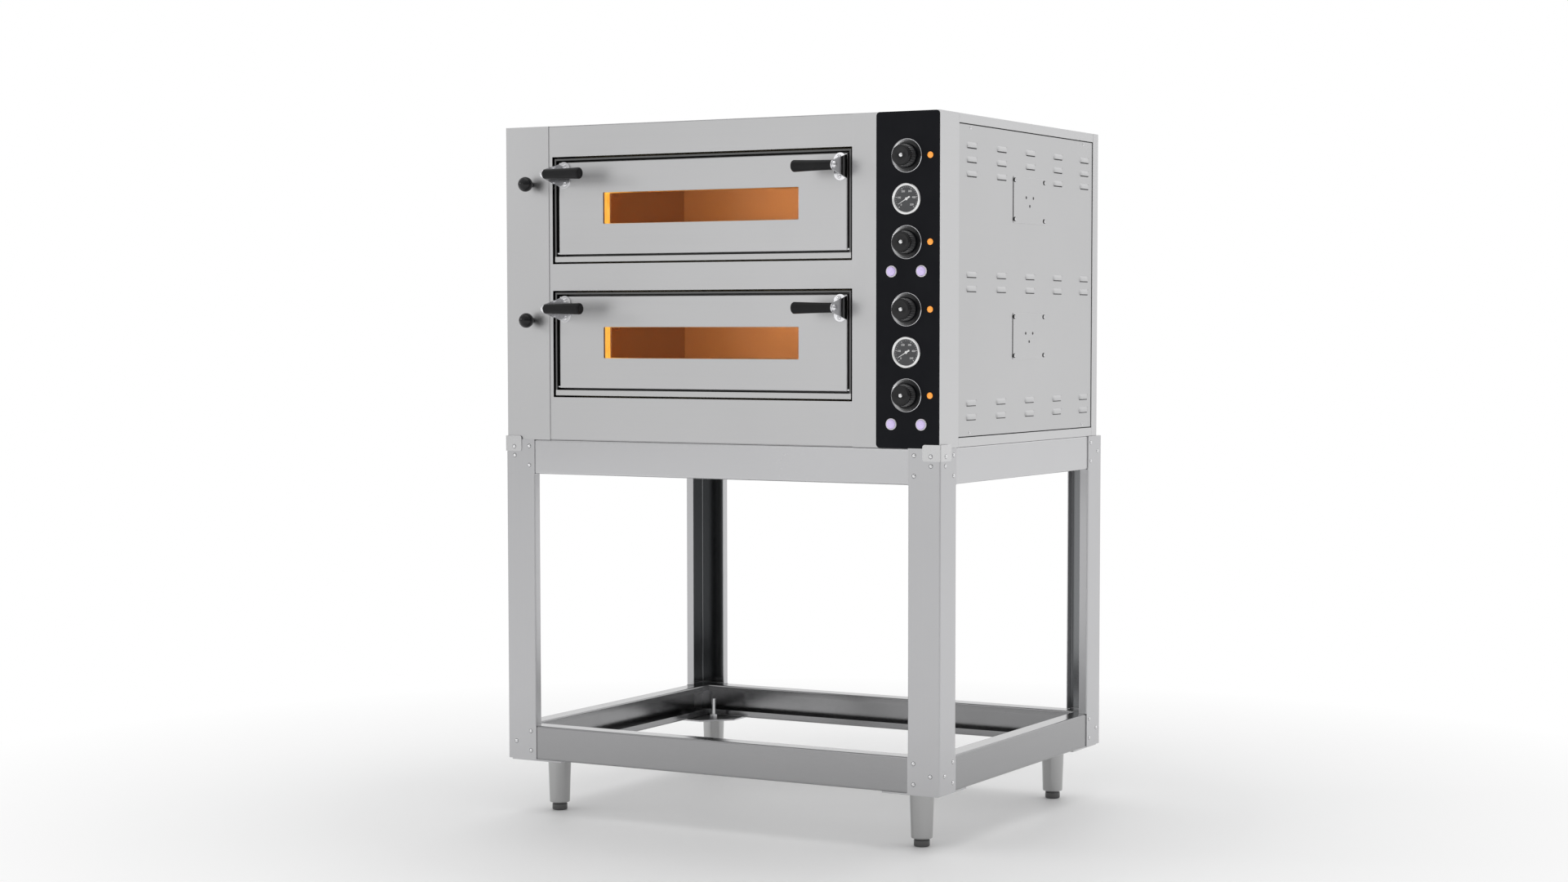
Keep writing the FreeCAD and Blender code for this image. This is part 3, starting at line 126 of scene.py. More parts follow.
class Surface:
    """Gathers grids and loops of points into one mesh."""

    def __init__(self) -> None:
        """Starts with no points and no faces."""
        self._points: list[Array] = []
        self._faces: list[list[int]] = []
        self._count = 0

    def _take(self, points: Array) -> Array:
        """Stores points and returns their numbers, in the same shape without the last axis."""
        numbers = np.arange(points.size // 3).reshape(points.shape[:-1]) + self._count
        self._points.append(points.reshape(-1, 3))
        self._count += points.size // 3
        return numbers

    def _join(self, index: Array) -> None:
        """Adds the four-sided faces between neighbours in rows and columns of point numbers."""
        quads = np.stack([index[:-1, :-1], index[:-1, 1:], index[1:, 1:], index[1:, :-1]], -1)
        self._faces += quads.reshape(-1, 4).tolist()

    def grid(self, points: Array, around: bool = False, along: bool = False) -> "Surface":
        """Joins each point of a grid to its neighbours with four-sided faces.

        Args:
            points: rows by columns by 3.
            around: joins the last column to the first.
            along: joins the last row to the first.

        Returns:
            This surface.
        """
        index = self._take(points)
        if around:
            index = np.hstack([index, index[:, :1]])
        if along:
            index = np.vstack([index, index[:1]])
        self._join(index)
        return self

    def stack(self, loops: Array) -> "Surface":
        """A closed skin over a stack of loops: a grid round them, and a face on each end loop."""
        index = self._take(loops)
        self._join(np.hstack([index, index[:, :1]]))
        self._faces += [index[0, ::-1].tolist(), index[-1].tolist()]
        return self

    def turned(self, profile: Array, segments: int, facing: Facing, seat: Point,
               along: bool = False) -> "Surface":
        """Adds a turned piece.

        Args:
            profile: points (radius, w), from the back of the piece to its front.
            segments: steps in the full turn.
            facing: the way that w points.
            seat: where the axis meets w = 0.
            along: joins the profile's last point to its first.

        Returns:
            This surface.
        """
        return self.grid(facing.place(lathe(profile, segments), seat), around=True, along=along)

    def pressed(self, size: tuple[float, float], corner: float, depth: float, round_over: float,
                facing: Facing, seat: Point, steps: int = 6) -> "Surface":
        """Adds a flat plate whose front edge rolls over, as plate_loops gives it.

        Args:
            size: full width and height.
            corner: radius of the corners.
            depth: thickness.
            round_over: radius of the front edge.
            facing: the way that its front faces.
            seat: the centre of its back.
            steps: points on each corner's arc.

        Returns:
            This surface.
        """
        return self.stack(facing.place(plate_loops(size, corner, depth, round_over, steps), seat))

    def strip(self, outer: Array, inner: Array, start: Array, end: Array) -> "Surface":
        """A bent sheet's straight run: the outline between two matching lines, from start to end.

        Args:
            outer: points by 3 along the sheet's outside.
            inner: the matching points along its inside.
            start: the offset of one end, 3 numbers.
            end: the offset of the other end.

        Returns:
            This surface, with both cut ends closed by a row of four-sided faces.
        """
        ring = np.concatenate([outer, inner[::-1]])
        self.grid(np.stack([ring + start, ring + end]), around=True)
        self.grid(np.stack([outer + start, inner + start]))
        self.grid(np.stack([inner + end, outer + end]))
        return self

    def object(self, name: str, smooth_angle: float = CRISP) -> bpy.types.Object:
        """Makes the mesh and its object.

        Args:
            name: the piece's name.
            smooth_angle: edges that turn more than this many degrees stay crisp.

        Returns:
            The linked object, at the origin, unturned and unscaled.
        """
        mesh = bpy.data.meshes.new(name)
        mesh.from_pydata(np.concatenate(self._points).tolist(), [], self._faces)
        return shaded_evenly(finish_mesh(name, mesh, smooth_angle))


def linked(mesh: bpy.types.Mesh) -> bpy.types.Object:
    """A new object of the mesh's name in the scene."""
    item = bpy.data.objects.new(mesh.name, mesh)
    bpy.context.scene.collection.objects.link(item)
    return item


def shaded_evenly(item: bpy.types.Object) -> bpy.types.Object:
    """Weights a piece's normals by face area, so that flat faces stay flat."""
    item.modifiers.new("even_shading", "WEIGHTED_NORMAL").keep_sharp = True
    return item


def finish_mesh(name: str, mesh: bpy.types.Mesh, smooth_angle: float,
                copied: bool = False) -> bpy.types.Object:
    """Welds a mesh, turns its faces outwards, marks its crisp edges and links its object.

    Args:
        name: the piece's name.
        mesh: the mesh, changed in place.
        smooth_angle: edges that turn more than this many degrees stay crisp.
        copied: the mesh is the model's own, so its faces already point outwards.

    Returns:
        The linked object.
    """
    work = bmesh.new()
    work.from_mesh(mesh)
    bmesh.ops.remove_doubles(work, verts=work.verts, dist=10 * WELD if copied else WELD)
    bmesh.ops.dissolve_degenerate(work, edges=work.edges, dist=WELD)
    if not copied:
        bmesh.ops.recalc_face_normals(work, faces=work.faces)
    limit = math.radians(smooth_angle)
    for edge in work.edges:
        edge.smooth = edge.calc_face_angle(math.pi) < limit
    for face in work.faces:
        face.smooth = True
    work.to_mesh(mesh)
    work.free()
    mesh.name = name
    return linked(mesh)


def lathe(profile: Array, segments: int) -> Array:
    """Turns a profile round the w axis: point i, j is (r_i cos a_j, r_i sin a_j, w_i).

    Args:
        profile: points (radius, w), from the back of the piece to its front.
        segments: how many steps make the full turn.

    Returns:
        Rows of points, one row for each profile point.
    """
    angle = np.linspace(0, 2 * math.pi, segments, endpoint=False)
    radius, level = profile[:, :1], profile[:, 1:]
    return np.stack([radius * np.cos(angle), radius * np.sin(angle), level + 0 * angle], -1)


def plate_loops(size: tuple[float, float], corner: float, depth: float, round_over: float,
                steps: int = 6) -> Array:
    """Loops of a flat plate whose front edge rolls over in a quarter circle.

    Each loop is the rounded rectangle drawn in by e (1 - cos a) and lifted to
    depth - e (1 - sin a), where e is the edge radius and a runs from 0 to 90 degrees.

    Args:
        size: full width and height.
        corner: radius of the corners.
        depth: thickness, from w = 0.
        round_over: radius of the front edge.
        steps: points on each corner's arc.

    Returns:
        Loops by points by 3, from the back to the front.
    """
    turns = np.radians(np.linspace(0, 90, 5))
    insets = np.concatenate([[0], round_over * (1 - np.cos(turns))])
    levels = np.concatenate([[0], depth - round_over * (1 - np.sin(turns))])
    return np.concatenate([raised(rounded_rectangle(size[0] - 2 * inset, size[1] - 2 * inset,
                                                    corner - inset, steps), (level,))
                           for inset, level in zip(insets, levels)])


def bent_line(corners: Array, radius: float, steps: int = 5) -> tuple[Array, Array]:
    """Rounds the inner corners of an open line and gives the direction across it at each point.

    A corner at c between unit directions p and q is replaced by a quadratic curve from
    c - radius p to c + radius q.

    Args:
        corners: points (u, v) of the line.
        radius: distance from a corner at which the bend starts.
        steps: points on each bend.

    Returns:
        The points of the rounded line, and unit vectors to its left.
    """
    run = np.diff(corners, axis=0)
    run = run / np.linalg.norm(run, axis=1, keepdims=True)
    share = np.linspace(0, 1, steps)[:, None]
    points, ways = [corners[:1]], [run[:1]]
    for corner, before, after in zip(corners[1:-1], run[:-1], run[1:]):
        start, end = corner - radius * before, corner + radius * after
        points.append((1 - share) ** 2 * start + 2 * share * (1 - share) * corner
                      + share ** 2 * end)
        way = (1 - share) * before + share * after
        ways.append(way / np.linalg.norm(way, axis=1, keepdims=True))
    points.append(corners[-1:])
    ways.append(run[-1:])
    way = np.concatenate(ways)
    return np.concatenate(points), np.column_stack([-way[:, 1], way[:, 0]])


class Value:
    """A number that travels along a shader socket, on which arithmetic can be written."""

    def __init__(self, graph: "Graph", socket: bpy.types.NodeSocket) -> None:
        """Wraps one output socket of a graph."""
        self.graph = graph
        self.socket = socket

    def _maths(self, operation: str, first: object, second: object) -> "Value":
        """Adds a Math node with its operation and two terms."""
        return self.graph.value("ShaderNodeMath", {"operation": operation}, {0: first, 1: second})

    def __add__(self, other: object) -> "Value":
        """This plus other."""
        return self._maths("ADD", self, other)

    def __radd__(self, other: object) -> "Value":
        """Other plus this."""
        return self._maths("ADD", other, self)

    def __sub__(self, other: object) -> "Value":
        """This less other."""
        return self._maths("SUBTRACT", self, other)

    def __rsub__(self, other: object) -> "Value":
        """Other less this."""
        return self._maths("SUBTRACT", other, self)

    def __mul__(self, other: object) -> "Value":
        """This times other."""
        return self._maths("MULTIPLY", self, other)

    def __rmul__(self, other: object) -> "Value":
        """Other times this."""
        return self._maths("MULTIPLY", other, self)

    def __pow__(self, other: object) -> "Value":
        """This to the power other."""
        return self._maths("POWER", self, other)

    def __abs__(self) -> "Value":
        """This without its sign."""
        return self._maths("ABSOLUTE", self, 0.0)

    def spread(self, low: float, high: float) -> "Value":
        """Rescales low..high to 0..1 and holds it there."""
        return self.graph.value("ShaderNodeMapRange", {"clamp": True},
                                {"Value": self, "From Min": low, "From Max": high})


class Graph:
    """A node tree and the ways to add to it."""

    def __init__(self, tree: bpy.types.NodeTree) -> None:
        """Takes the tree that nodes are added to."""
        self.tree = tree

    def feed(self, socket: bpy.types.NodeSocket, term: object) -> None:
        """Links or sets one input socket.

        Args:
            socket: the input.
            term: a Value, an output socket, a number or a tuple.
        """
        if isinstance(term, Value):
            self.tree.links.new(term.socket, socket)
        elif isinstance(term, bpy.types.NodeSocket):
            self.tree.links.new(term, socket)
        else:
            if isinstance(term, tuple) and len(term) == 3 and len(socket.default_value) == 4:
                term = (*term, 1.0)
            socket.default_value = term

    def node(self, kind: str, settings: dict | None = None,
             inputs: dict | None = None) -> bpy.types.Node:
        """Adds a node: its settings first, then the values or links of its sockets.

        Args:
            kind: the node's type.
            settings: attributes, or "stops" for a ramp's list of (position, colour).
            inputs: what goes into each socket, by name or number.

        Returns:
            The node.
        """
        item = self.tree.nodes.new(kind)
        for key, setting in (settings or {}).items():
            if key == "stops":
                ramp = item.color_ramp
                while len(ramp.elements) < len(setting):
                    ramp.elements.new(0.5)
                for element, (position, colour) in zip(ramp.elements, setting):
                    element.position = position
                    element.color = (*colour, 1.0)
            else:
                setattr(item, key, setting)
        for key, term in (inputs or {}).items():
            self.feed(item.inputs[key], term)
        return item

    def value(self, kind: str, settings: dict | None = None, inputs: dict | None = None) -> Value:
        """Adds a node and returns its first output as a Value."""
        return Value(self, self.node(kind, settings, inputs).outputs[0])

    def axes(self, vector: bpy.types.NodeSocket) -> tuple[Value, Value, Value]:
        """The x, y and z of a vector."""
        parts = self.node("ShaderNodeSeparateXYZ", None, {0: vector}).outputs
        return Value(self, parts["X"]), Value(self, parts["Y"]), Value(self, parts["Z"])


class Shader(Graph):
    """One material's node tree around a Principled surface."""

    def __init__(self, name: str) -> None:
        """Makes an empty material with its surface and output."""
        self.material = bpy.data.materials.new(name)
        self.material.use_nodes = True
        super().__init__(self.material.node_tree)
        self.tree.nodes.clear()
        self.output = self.tree.nodes.new("ShaderNodeOutputMaterial")
        self.surface = self.tree.nodes.new("ShaderNodeBsdfPrincipled")
        self.tree.links.new(self.surface.outputs[0], self.output.inputs["Surface"])
        self.place = self.node("ShaderNodeTexCoord").outputs["Object"]

    def stretched(self, scale: float | Point) -> bpy.types.NodeSocket:
        """Object coordinates times a scale for each axis."""
        scale = scale if isinstance(scale, tuple) else (scale,) * 3
        return self.node("ShaderNodeMapping", None,
                         {"Vector": self.place, "Scale": scale}).outputs[0]

    def noise(self, scale: float | Point, detail: float = 3.0, roughness: float = 0.5) -> Value:
        """Cloudy noise with that many features a metre along each axis."""
        return self.value("ShaderNodeTexNoise", None,
                          {"Vector": self.stretched(scale), "Scale": 1.0, "Detail": detail,
                           "Roughness": roughness})

    def cells(self, scale: float) -> Value:
        """The distance from the nearest of that many scattered points a metre."""
        return self.value("ShaderNodeTexVoronoi", None,
                          {"Vector": self.stretched(1.0), "Scale": scale})

    def mix(self, share: object, first: object, second: object) -> bpy.types.NodeSocket:
        """A mix of two colours.

        Args:
            share: 0 gives the first colour and 1 the second.
            first: a colour or a socket that carries one.
            second: likewise.

        Returns:
            The socket that carries the mixed colour.
        """
        item = self.node("ShaderNodeMix", {"data_type": "RGBA"})
        self.feed(item.inputs[0], share)
        self.feed(item.inputs[6], first)
        self.feed(item.inputs[7], second)
        return item.outputs[2]

    def edges(self, radius: float) -> Value:
        """A mask of edges, for wear and for painted highlights: 1 less the product of the true
        normal and one rounded over.

        Args:
            radius: how far from an edge the mask reaches, in metres.

        Returns:
            A value that is 1 where the surface turns within the radius and 0 on the flat.
        """
        rounded = self.node("ShaderNodeBevel", {"samples": 3}, {"Radius": radius}).outputs[0]
        true = self.node("ShaderNodeNewGeometry").outputs["Normal"]
        dot = self.node("ShaderNodeVectorMath", {"operation": "DOT_PRODUCT"},
                        {0: rounded, 1: true}).outputs["Value"]
        return (1 - Value(self, dot)).spread(0.02, 0.25)

    def finish(self, **sockets: object) -> bpy.types.Material:
        """Feeds the surface's sockets, named with underscores for spaces.

        Args:
            sockets: what goes into each; Height takes a height and its depth in metres.

        Returns:
            The material.
        """
        for key, term in sockets.items():
            if key == "Height":
                bump = self.node("ShaderNodeBump", None, {"Strength": 1.0, "Height": term[0],
                                                          "Distance": term[1]})
                self.feed(self.surface.inputs["Normal"], bump.outputs[0])
            else:
                self.feed(self.surface.inputs[key.replace("_", " ")], term)
        return self.material


def scaled(colour: Point, gain: float, lift: float = 0.0) -> Point:
    """A colour times a gain plus a lift, held to 1."""
    return tuple(min(1.0, part * gain + lift) for part in colour)


class Finish:
    """A finish that can be made into a material."""

    def paint(self, shader: Shader) -> bpy.types.Material:
        """Feeds the shader's surface; each kind of finish has its own."""
        raise NotImplementedError

    def material(self, name: str) -> bpy.types.Material:
        """Makes the finish under the name given."""
        return self.paint(Shader(name))


class Grain(Enum):
    """The way a sheet's rolling grain runs: features a metre along each axis."""

    ACROSS = (3.0, 420.0, 420.0)
    DEEP = (420.0, 3.0, 420.0)
    TALL = (420.0, 420.0, 3.0)
    NONE = (160.0, 160.0, 160.0)


@dataclass(frozen=True)
class Zone:
    """A slab of the object, from start to end along one axis, where a finish takes a gain: painted
    light or shade.
    """

    axis: str
    start: float
    end: float
    gain: float
    mirrored: bool = False

    def mask(self, shader: Shader) -> Value:
        """The slab's mask.

        Args:
            shader: the shader that its nodes go into.

        Returns:
            A value that is 1 inside the slab and 0 outside, with sides 1 mm soft.
        """
        where = shader.axes(shader.place)["XYZ".index(self.axis)]
        if self.mirrored:
            where = abs(where)
        return (where.spread(self.start, self.start + MM)
                * (1 - where.spread(self.end - MM, self.end)))


@dataclass(frozen=True)
class SheetSteel(Finish):
    """Satin sheet steel: rolling grain, faint clouds, handling smudges, edges brightened by wear
    and painted highlight, and slabs of painted light or shade.
    """

    tint: Point
    roughness: float
    grain: Grain
    clouds: float = 0.06
    scratch: float = 0.05
    edge_wear_and_highlight: float = 0.10
    metallic: float = 1.0
    light_and_shade_zones: tuple[Zone, ...] = ()

    def paint(self, shader: Shader) -> bpy.types.Material:
        """Clouds and grain tint the sheet, zones paint light or shade on slabs of it, edges
        brighten it as wear and painted highlight, smudges dull it.
        """
        grain = shader.noise(self.grain.value, 4.0, 0.62)
        cloud = shader.noise(2.6, 2.0, 0.5)
        smudge = shader.noise((11.0, 11.0, 7.0), 5.0, 0.6).spread(0.52, 0.78)
        edge = shader.edges(1.5 * MM)
        colour = shader.mix(cloud * 0.6 + grain * 0.4, scaled(self.tint, 1 - self.clouds),
                            scaled(self.tint, 1 + self.clouds))
        # painted light and shade: each zone's slab is brightened or darkened by its gain
        for zone in self.light_and_shade_zones:
            colour = shader.mix(zone.mask(shader), colour, scaled(self.tint, zone.gain))
        # edges brightened: partly wear, partly a painted highlight along bends and corners
        colour = shader.mix(edge, colour, scaled(self.tint, 1 + self.edge_wear_and_highlight, 0.03))
        gloss = self.roughness + (grain - 0.5) * self.scratch * 2 + smudge * 0.03 - edge * 0.06
        return shader.finish(Base_Color=colour, Metallic=self.metallic, Roughness=gloss,
                             Height=(grain, 0.03 * MM))


@dataclass(frozen=True)
class Chrome(Finish):
    """Bright plated steel with hairline polishing marks, a little dulled where it is touched."""

    tint: Point = (0.80, 0.80, 0.82)
    roughness: float = 0.10

    def paint(self, shader: Shader) -> bpy.types.Material:
        """Haze dulls the plating, and hairs roughen and ripple it."""
        hair = shader.noise((900.0, 60.0, 900.0), 3.0, 0.6)
        haze = shader.noise(45.0, 3.0, 0.5)
        colour = shader.mix(haze.spread(0.35, 0.75), self.tint, scaled(self.tint, 0.86))
        return shader.finish(Base_Color=colour, Metallic=1.0, Height=(hair, 0.006 * MM),
                             Roughness=self.roughness + hair * 0.05 + haze * 0.06)


@dataclass(frozen=True)
class Moulding(Finish):
    """Moulded plastic or lacquer: fine skin, dust in the hollows and rubbed edges."""

    colour: Point
    roughness: float
    skin: float = 900.0
    depth: float = 0.01 * MM
    rubbed: float = 0.05
    coat: float = 0.0
    gloss: float = 0.5

    def paint(self, shader: Shader) -> bpy.types.Material:
        """Dust and rubbed edges pale the colour over a fine skin."""
        skin = shader.noise(self.skin, 2.0, 0.5)
        haze = shader.noise(24.0, 4.0, 0.6)
        edge = shader.edges(0.8 * MM)
        colour = shader.mix(haze.spread(0.3, 0.8) * 0.35 + edge * 0.65, self.colour,
                            scaled(self.colour, 1 - self.rubbed, self.rubbed))
        return shader.finish(Base_Color=colour, Coat_Weight=self.coat, Coat_Roughness=0.05,
                             Roughness=self.roughness + haze * 0.10 + edge * 0.06,
                             Specular_IOR_Level=self.gloss, Height=(skin, self.depth))


@dataclass(frozen=True)
class Lens(Finish):
    """A tinted translucent cap that glows a little, deeper towards its moulded flutes."""

    colour: Point
    glow: float
    roughness: float = 0.18

    def paint(self, shader: Shader) -> bpy.types.Material:
        """Cells and haze deepen the colour of the glow."""
        cell = shader.cells(620.0)
        haze = shader.noise(240.0, 3.0, 0.5)
        colour = shader.mix(cell.spread(0.0, 0.9) * 0.7 + haze * 0.3, self.colour,
                            scaled(self.colour, 0.72))
        return shader.finish(Base_Color=colour, Emission_Color=colour, Emission_Strength=self.glow,
                             Roughness=self.roughness + haze * 0.08, Coat_Weight=0.6,
                             Coat_Roughness=0.04, Height=(cell, 0.04 * MM))


@dataclass(frozen=True)
class AmberGlass(Finish):
    """Heat-resisting amber door glass with faint baked-on haze."""

    tint: Point
    body: float = 0.20

    def paint(self, shader: Shader) -> bpy.types.Material:
        """Haze deepens the tint and thickens the glass a little."""
        haze = shader.noise((14.0, 14.0, 22.0), 4.0, 0.6)
        return shader.finish(Base_Color=shader.mix(haze, self.tint, scaled(self.tint, 0.80)),
                             Alpha=self.body + haze * 0.04, Specular_IOR_Level=0.35,
                             Roughness=0.04 + haze.spread(0.45, 0.9) * 0.06)


@dataclass(frozen=True)
class PaintedGlowLining(Finish):
    """A window tunnel's lining, tinted orange and glowing as painted light: strong at its left end
    and dim to the right.
    """

    tint: Point
    glow: float
    lit: float
    dim: float

    def paint(self, shader: Shader) -> bpy.types.Material:
        """The painted glow falls off along x over a streaky lining."""
        share = 1 - shader.axes(shader.place)[0].spread(self.lit, self.dim)
        streak = shader.noise((60.0, 420.0, 34.0), 3.0, 0.6)
        colour = shader.mix(streak.spread(0.35, 0.7), self.tint, scaled(self.tint, 1.5, 0.12))
        return shader.finish(Base_Color=colour, Metallic=0.3, Roughness=0.25 + streak * 0.2,
                             Emission_Color=shader.mix(share, (0.0, 0.0, 0.0), colour),
                             Emission_Strength=self.glow, Height=(streak, 0.1 * MM))


@dataclass(frozen=True)
class Stone(Finish):
    """Cast baking stone: sandy speckle, open pores and browned patches."""

    colour: Point
    brown: Point
    speckle: float = 700.0
    pore: float = 0.4 * MM

    def paint(self, shader: Shader) -> bpy.types.Material:
        """Flecks lighten the stone and patches brown it, over grit and pores."""
        grit = shader.cells(self.speckle)
        patch = shader.noise(9.0, 5.0, 0.6).spread(0.45, 0.75)
        fleck = shader.noise(260.0, 3.0, 0.6)
        base = shader.mix(fleck, self.colour, scaled(self.colour, 1.16))
        colour = shader.mix(patch, base, self.brown)
        return shader.finish(Base_Color=colour, Roughness=0.78 + fleck * 0.2,
                             Height=(grit + fleck, self.pore))


@dataclass(frozen=True)
class Woven(Finish):
    """Braided fibre: two sets of crossing strands and loose fuzz."""

    colour: Point
    strand: float = 420.0

    def paint(self, shader: Shader) -> bpy.types.Material:
        """Two crossing waves make the strands, with fuzz over them."""
        waves = [shader.value("ShaderNodeTexWave", {"bands_direction": "DIAGONAL"},
                              {"Vector": shader.stretched((turn * self.strand, self.strand,
                                                           self.strand)), "Scale": 0.2,
                               "Distortion": 1.5}) for turn in (1, -1)]
        weave = waves[0] * 0.5 + waves[1] * 0.5
        fuzz = shader.noise(800.0, 3.0, 0.7)
        colour = shader.mix(weave * 0.7 + fuzz * 0.3, scaled(self.colour, 0.45), self.colour)
        return shader.finish(Base_Color=colour, Roughness=0.85 + fuzz * 0.1,
                             Height=(weave + fuzz * 0.3, 0.6 * MM))


FINISHES: dict[str, Finish] = {
    "stand_steel": SheetSteel((0.52, 0.52, 0.53), 0.30, Grain.TALL),
    "rail_steel": SheetSteel((0.56, 0.56, 0.57), 0.24, Grain.NONE),
    "foot_steel": SheetSteel((0.44, 0.44, 0.44), 0.10, Grain.NONE, scratch=0.03),
    "bright_steel": Chrome((0.84, 0.84, 0.85), 0.20),
    "end_steel": SheetSteel((0.13, 0.13, 0.13), 0.24, Grain.NONE),
    "clip_steel": SheetSteel((0.62, 0.62, 0.625), 0.26, Grain.TALL),
    "front_steel": SheetSteel((0.55, 0.55, 0.555), 0.38, Grain.ACROSS),
    # casing steel: the pillars' side returns, |x| 0.5355 to 0.545, brightened by a tenth as a
    # painted reflection
    "casing_steel": SheetSteel((0.55, 0.55, 0.555), 0.38, Grain.DEEP,
                               light_and_shade_zones=(Zone("X", 0.5355, 0.545, 1.10, True),)),
    "panel_steel": SheetSteel((0.55, 0.55, 0.555), 0.36, Grain.DEEP),
    # mouth frames: steel darkened to 0.13 as painted shade of the door gaps; two narrow bands at z
    # 0.938 and 1.231 brightened 4.2 times
    "frame_painted_shade": SheetSteel((0.13, 0.13, 0.13), 0.40, Grain.ACROSS,
                              light_and_shade_zones=(Zone("Z", 0.938, 0.9515, 4.2),
                                     Zone("Z", 1.231, 1.2445, 4.2))),
    # chamber steel: the slab of the left walls, x -0.4095 to -0.4035, darkened to a fifth as
    # painted shade
    "chamber_steel": SheetSteel((0.62, 0.55, 0.46), 0.48, Grain.NONE, clouds=0.16, metallic=0.25,
                                light_and_shade_zones=(Zone("X", -0.4095, -0.4035, 0.20),)),
    "baking_stone": Stone((0.62, 0.52, 0.40), (0.30, 0.17, 0.08)),
    "element_steel": SheetSteel((0.20, 0.18, 0.17), 0.50, Grain.NONE, clouds=0.25),
    "mineral_wool": Stone((0.52, 0.46, 0.30), (0.36, 0.30, 0.18), 240.0, 0.003),
    "seal_rope": Woven((0.20, 0.19, 0.17)),
    "amber_glass": AmberGlass((0.50, 0.13, 0.025), 0.10),
    # window reveals: orange tint and glow painted as the chamber's light
    "reveal_painted_glow": PaintedGlowLining((0.95, 0.40, 0.03), 0.9, -0.28, -0.20),
    "chrome": Chrome(),
    "black_grip": Moulding((0.008, 0.008, 0.009), 0.40, rubbed=0.02, gloss=0.18),
    "black_plate": Moulding((0.005, 0.0055, 0.008), 0.30, 500.0, 0.000004, 0.01, 0.0, 0.10),
    "dish_chrome": Chrome((0.78, 0.78, 0.79), 0.08),
    # bottom rails: a darker copy of the rail steel, painted shade and dark reflections
    "rail_painted_shade": SheetSteel((0.34, 0.34, 0.345), 0.20, Grain.NONE),
    "black_gloss": Moulding((0.005, 0.005, 0.006), 0.16, 500.0, 0.000003, 0.01, 0.12, 0.28),
    # a dark steel for sheets and rings that stand in for shade: painted shade
    "painted_shade_steel": SheetSteel((0.20, 0.205, 0.21), 0.16, Grain.TALL, scratch=0.02),
    "switch_white": Moulding((0.80, 0.78, 0.80), 0.28),
    "dial_black": Moulding((0.055, 0.056, 0.060), 0.34),
    "pointer_white": Moulding((0.86, 0.86, 0.86), 0.35, rubbed=0.4),
    "orange_lens": Lens((1.0, 0.36, 0.04), 0.55),
    "lilac_lens": Lens((0.70, 0.58, 0.92), 0.30),
    "black_nylon": Moulding((0.02, 0.02, 0.022), 0.42),
    "shadow_gap": Moulding((0.018, 0.018, 0.018), 0.7, gloss=0.1),
    "satin_rim": SheetSteel((0.82, 0.82, 0.82), 0.30, Grain.NONE, scratch=0.03),
    "liner_steel": SheetSteel((0.70, 0.66, 0.58), 0.42, Grain.ACROSS, metallic=0.4),
}
MATERIALS: dict[str, bpy.types.Material] = {}


def finish_of(slot: str) -> bpy.types.Material:
    """The material of a finish, made the first time it is asked for."""
    if slot not in MATERIALS:
        MATERIALS[slot] = FINISHES[slot].material(slot)
    return MATERIALS[slot]


def dress(item: bpy.types.Object, slot: str) -> bpy.types.Object:
    """Puts one finish on every face of a piece."""
    item.data.materials.clear()
    item.data.materials.append(finish_of(slot))
    return item


def attach(item: bpy.types.Object, body: str, slot: str, *nodes: str,
           finish: str | None = None) -> bpy.types.Object:
    """Dresses a piece, makes it ride on a body and stand for the model's nodes.

    Args:
        item: the piece.
        body: the body that it moves with.
        slot: the record's material slot that its finish comes from.
        nodes: the nodes that it stands for.
        finish: a finish of its own, where it differs from the slot's.

    Returns:
        The piece.
    """
    dress(item, finish or slot)
    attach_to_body(item, body)
    if nodes:
        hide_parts(*nodes)
    LOG.info("%s rides on %s in %s", item.name, body, finish or slot)
    return item


def softened(node: str, width: float) -> bpy.types.Object:
    """A welded copy of a node whose crisp edges are rounded over.

    Args:
        node: the model's node.
        width: how far the rounding reaches from an edge, in metres; 0 leaves the edges crisp.

    Returns:
        The copy, not yet attached.
    """
    copy = finish_mesh(f"{node}_formed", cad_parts[node].data.copy(), CRISP, copied=True)
    if width:
        bevel = copy.modifiers.new("edge", "BEVEL")
        bevel.width, bevel.segments = width, 2
        bevel.limit_method, bevel.angle_limit = "ANGLE", math.radians(CRISP)
        bevel.miter_outer = "MITER_ARC"
    return shaded_evenly(copy)


def formed(node: str, width: float, slot: str, body: str = "root",
           finish: str | None = None) -> None:
    """Puts the softened copy of a node in the node's place.

    Args:
        node: the model's node.
        width: how far the rounding of its edges reaches.
        slot: the record's material slot.
        body: the body that it moves with.
        finish: a finish of its own, where it differs from the slot's.
    """
    attach(softened(node, width), body, slot, node, finish=finish)


def box_of(node: str) -> tuple[Array, Array]:
    """The lowest and highest corners of a node of the model."""
    low, high = (np.array(corner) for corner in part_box(node))
    return low, high


def islands(node: str) -> Array:
    """Boxes of a node's separate solids.

    The node's equal points are made one, each point starts with its own label, and every triangle
    passes on its lowest label until nothing changes.

    Args:
        node: the model's node.

    Returns:
        An array of (solids, 2, 3): each solid's lowest and highest corner.
    """
    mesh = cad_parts[node].data
    raw = np.empty(len(mesh.vertices) * 3)
    mesh.vertices.foreach_get("co", raw)
    corners = np.empty(len(mesh.loops), np.int64)
    mesh.loops.foreach_get("vertex_index", corners)
    points, same = np.unique(np.round(raw.reshape(-1, 3), 5), axis=0, return_inverse=True)
    triangles = same.reshape(-1)[corners].reshape(-1, 3)
    labels = np.arange(len(points))
    while True:
        passed = labels.copy()
        np.minimum.at(passed, triangles.ravel(), np.repeat(labels[triangles].min(1), 3))
        passed = passed[passed]
        if (passed == labels).all():
            break
        labels = passed
    return np.array([[points[labels == one].min(0), points[labels == one].max(0)]
                     for one in np.unique(labels)])


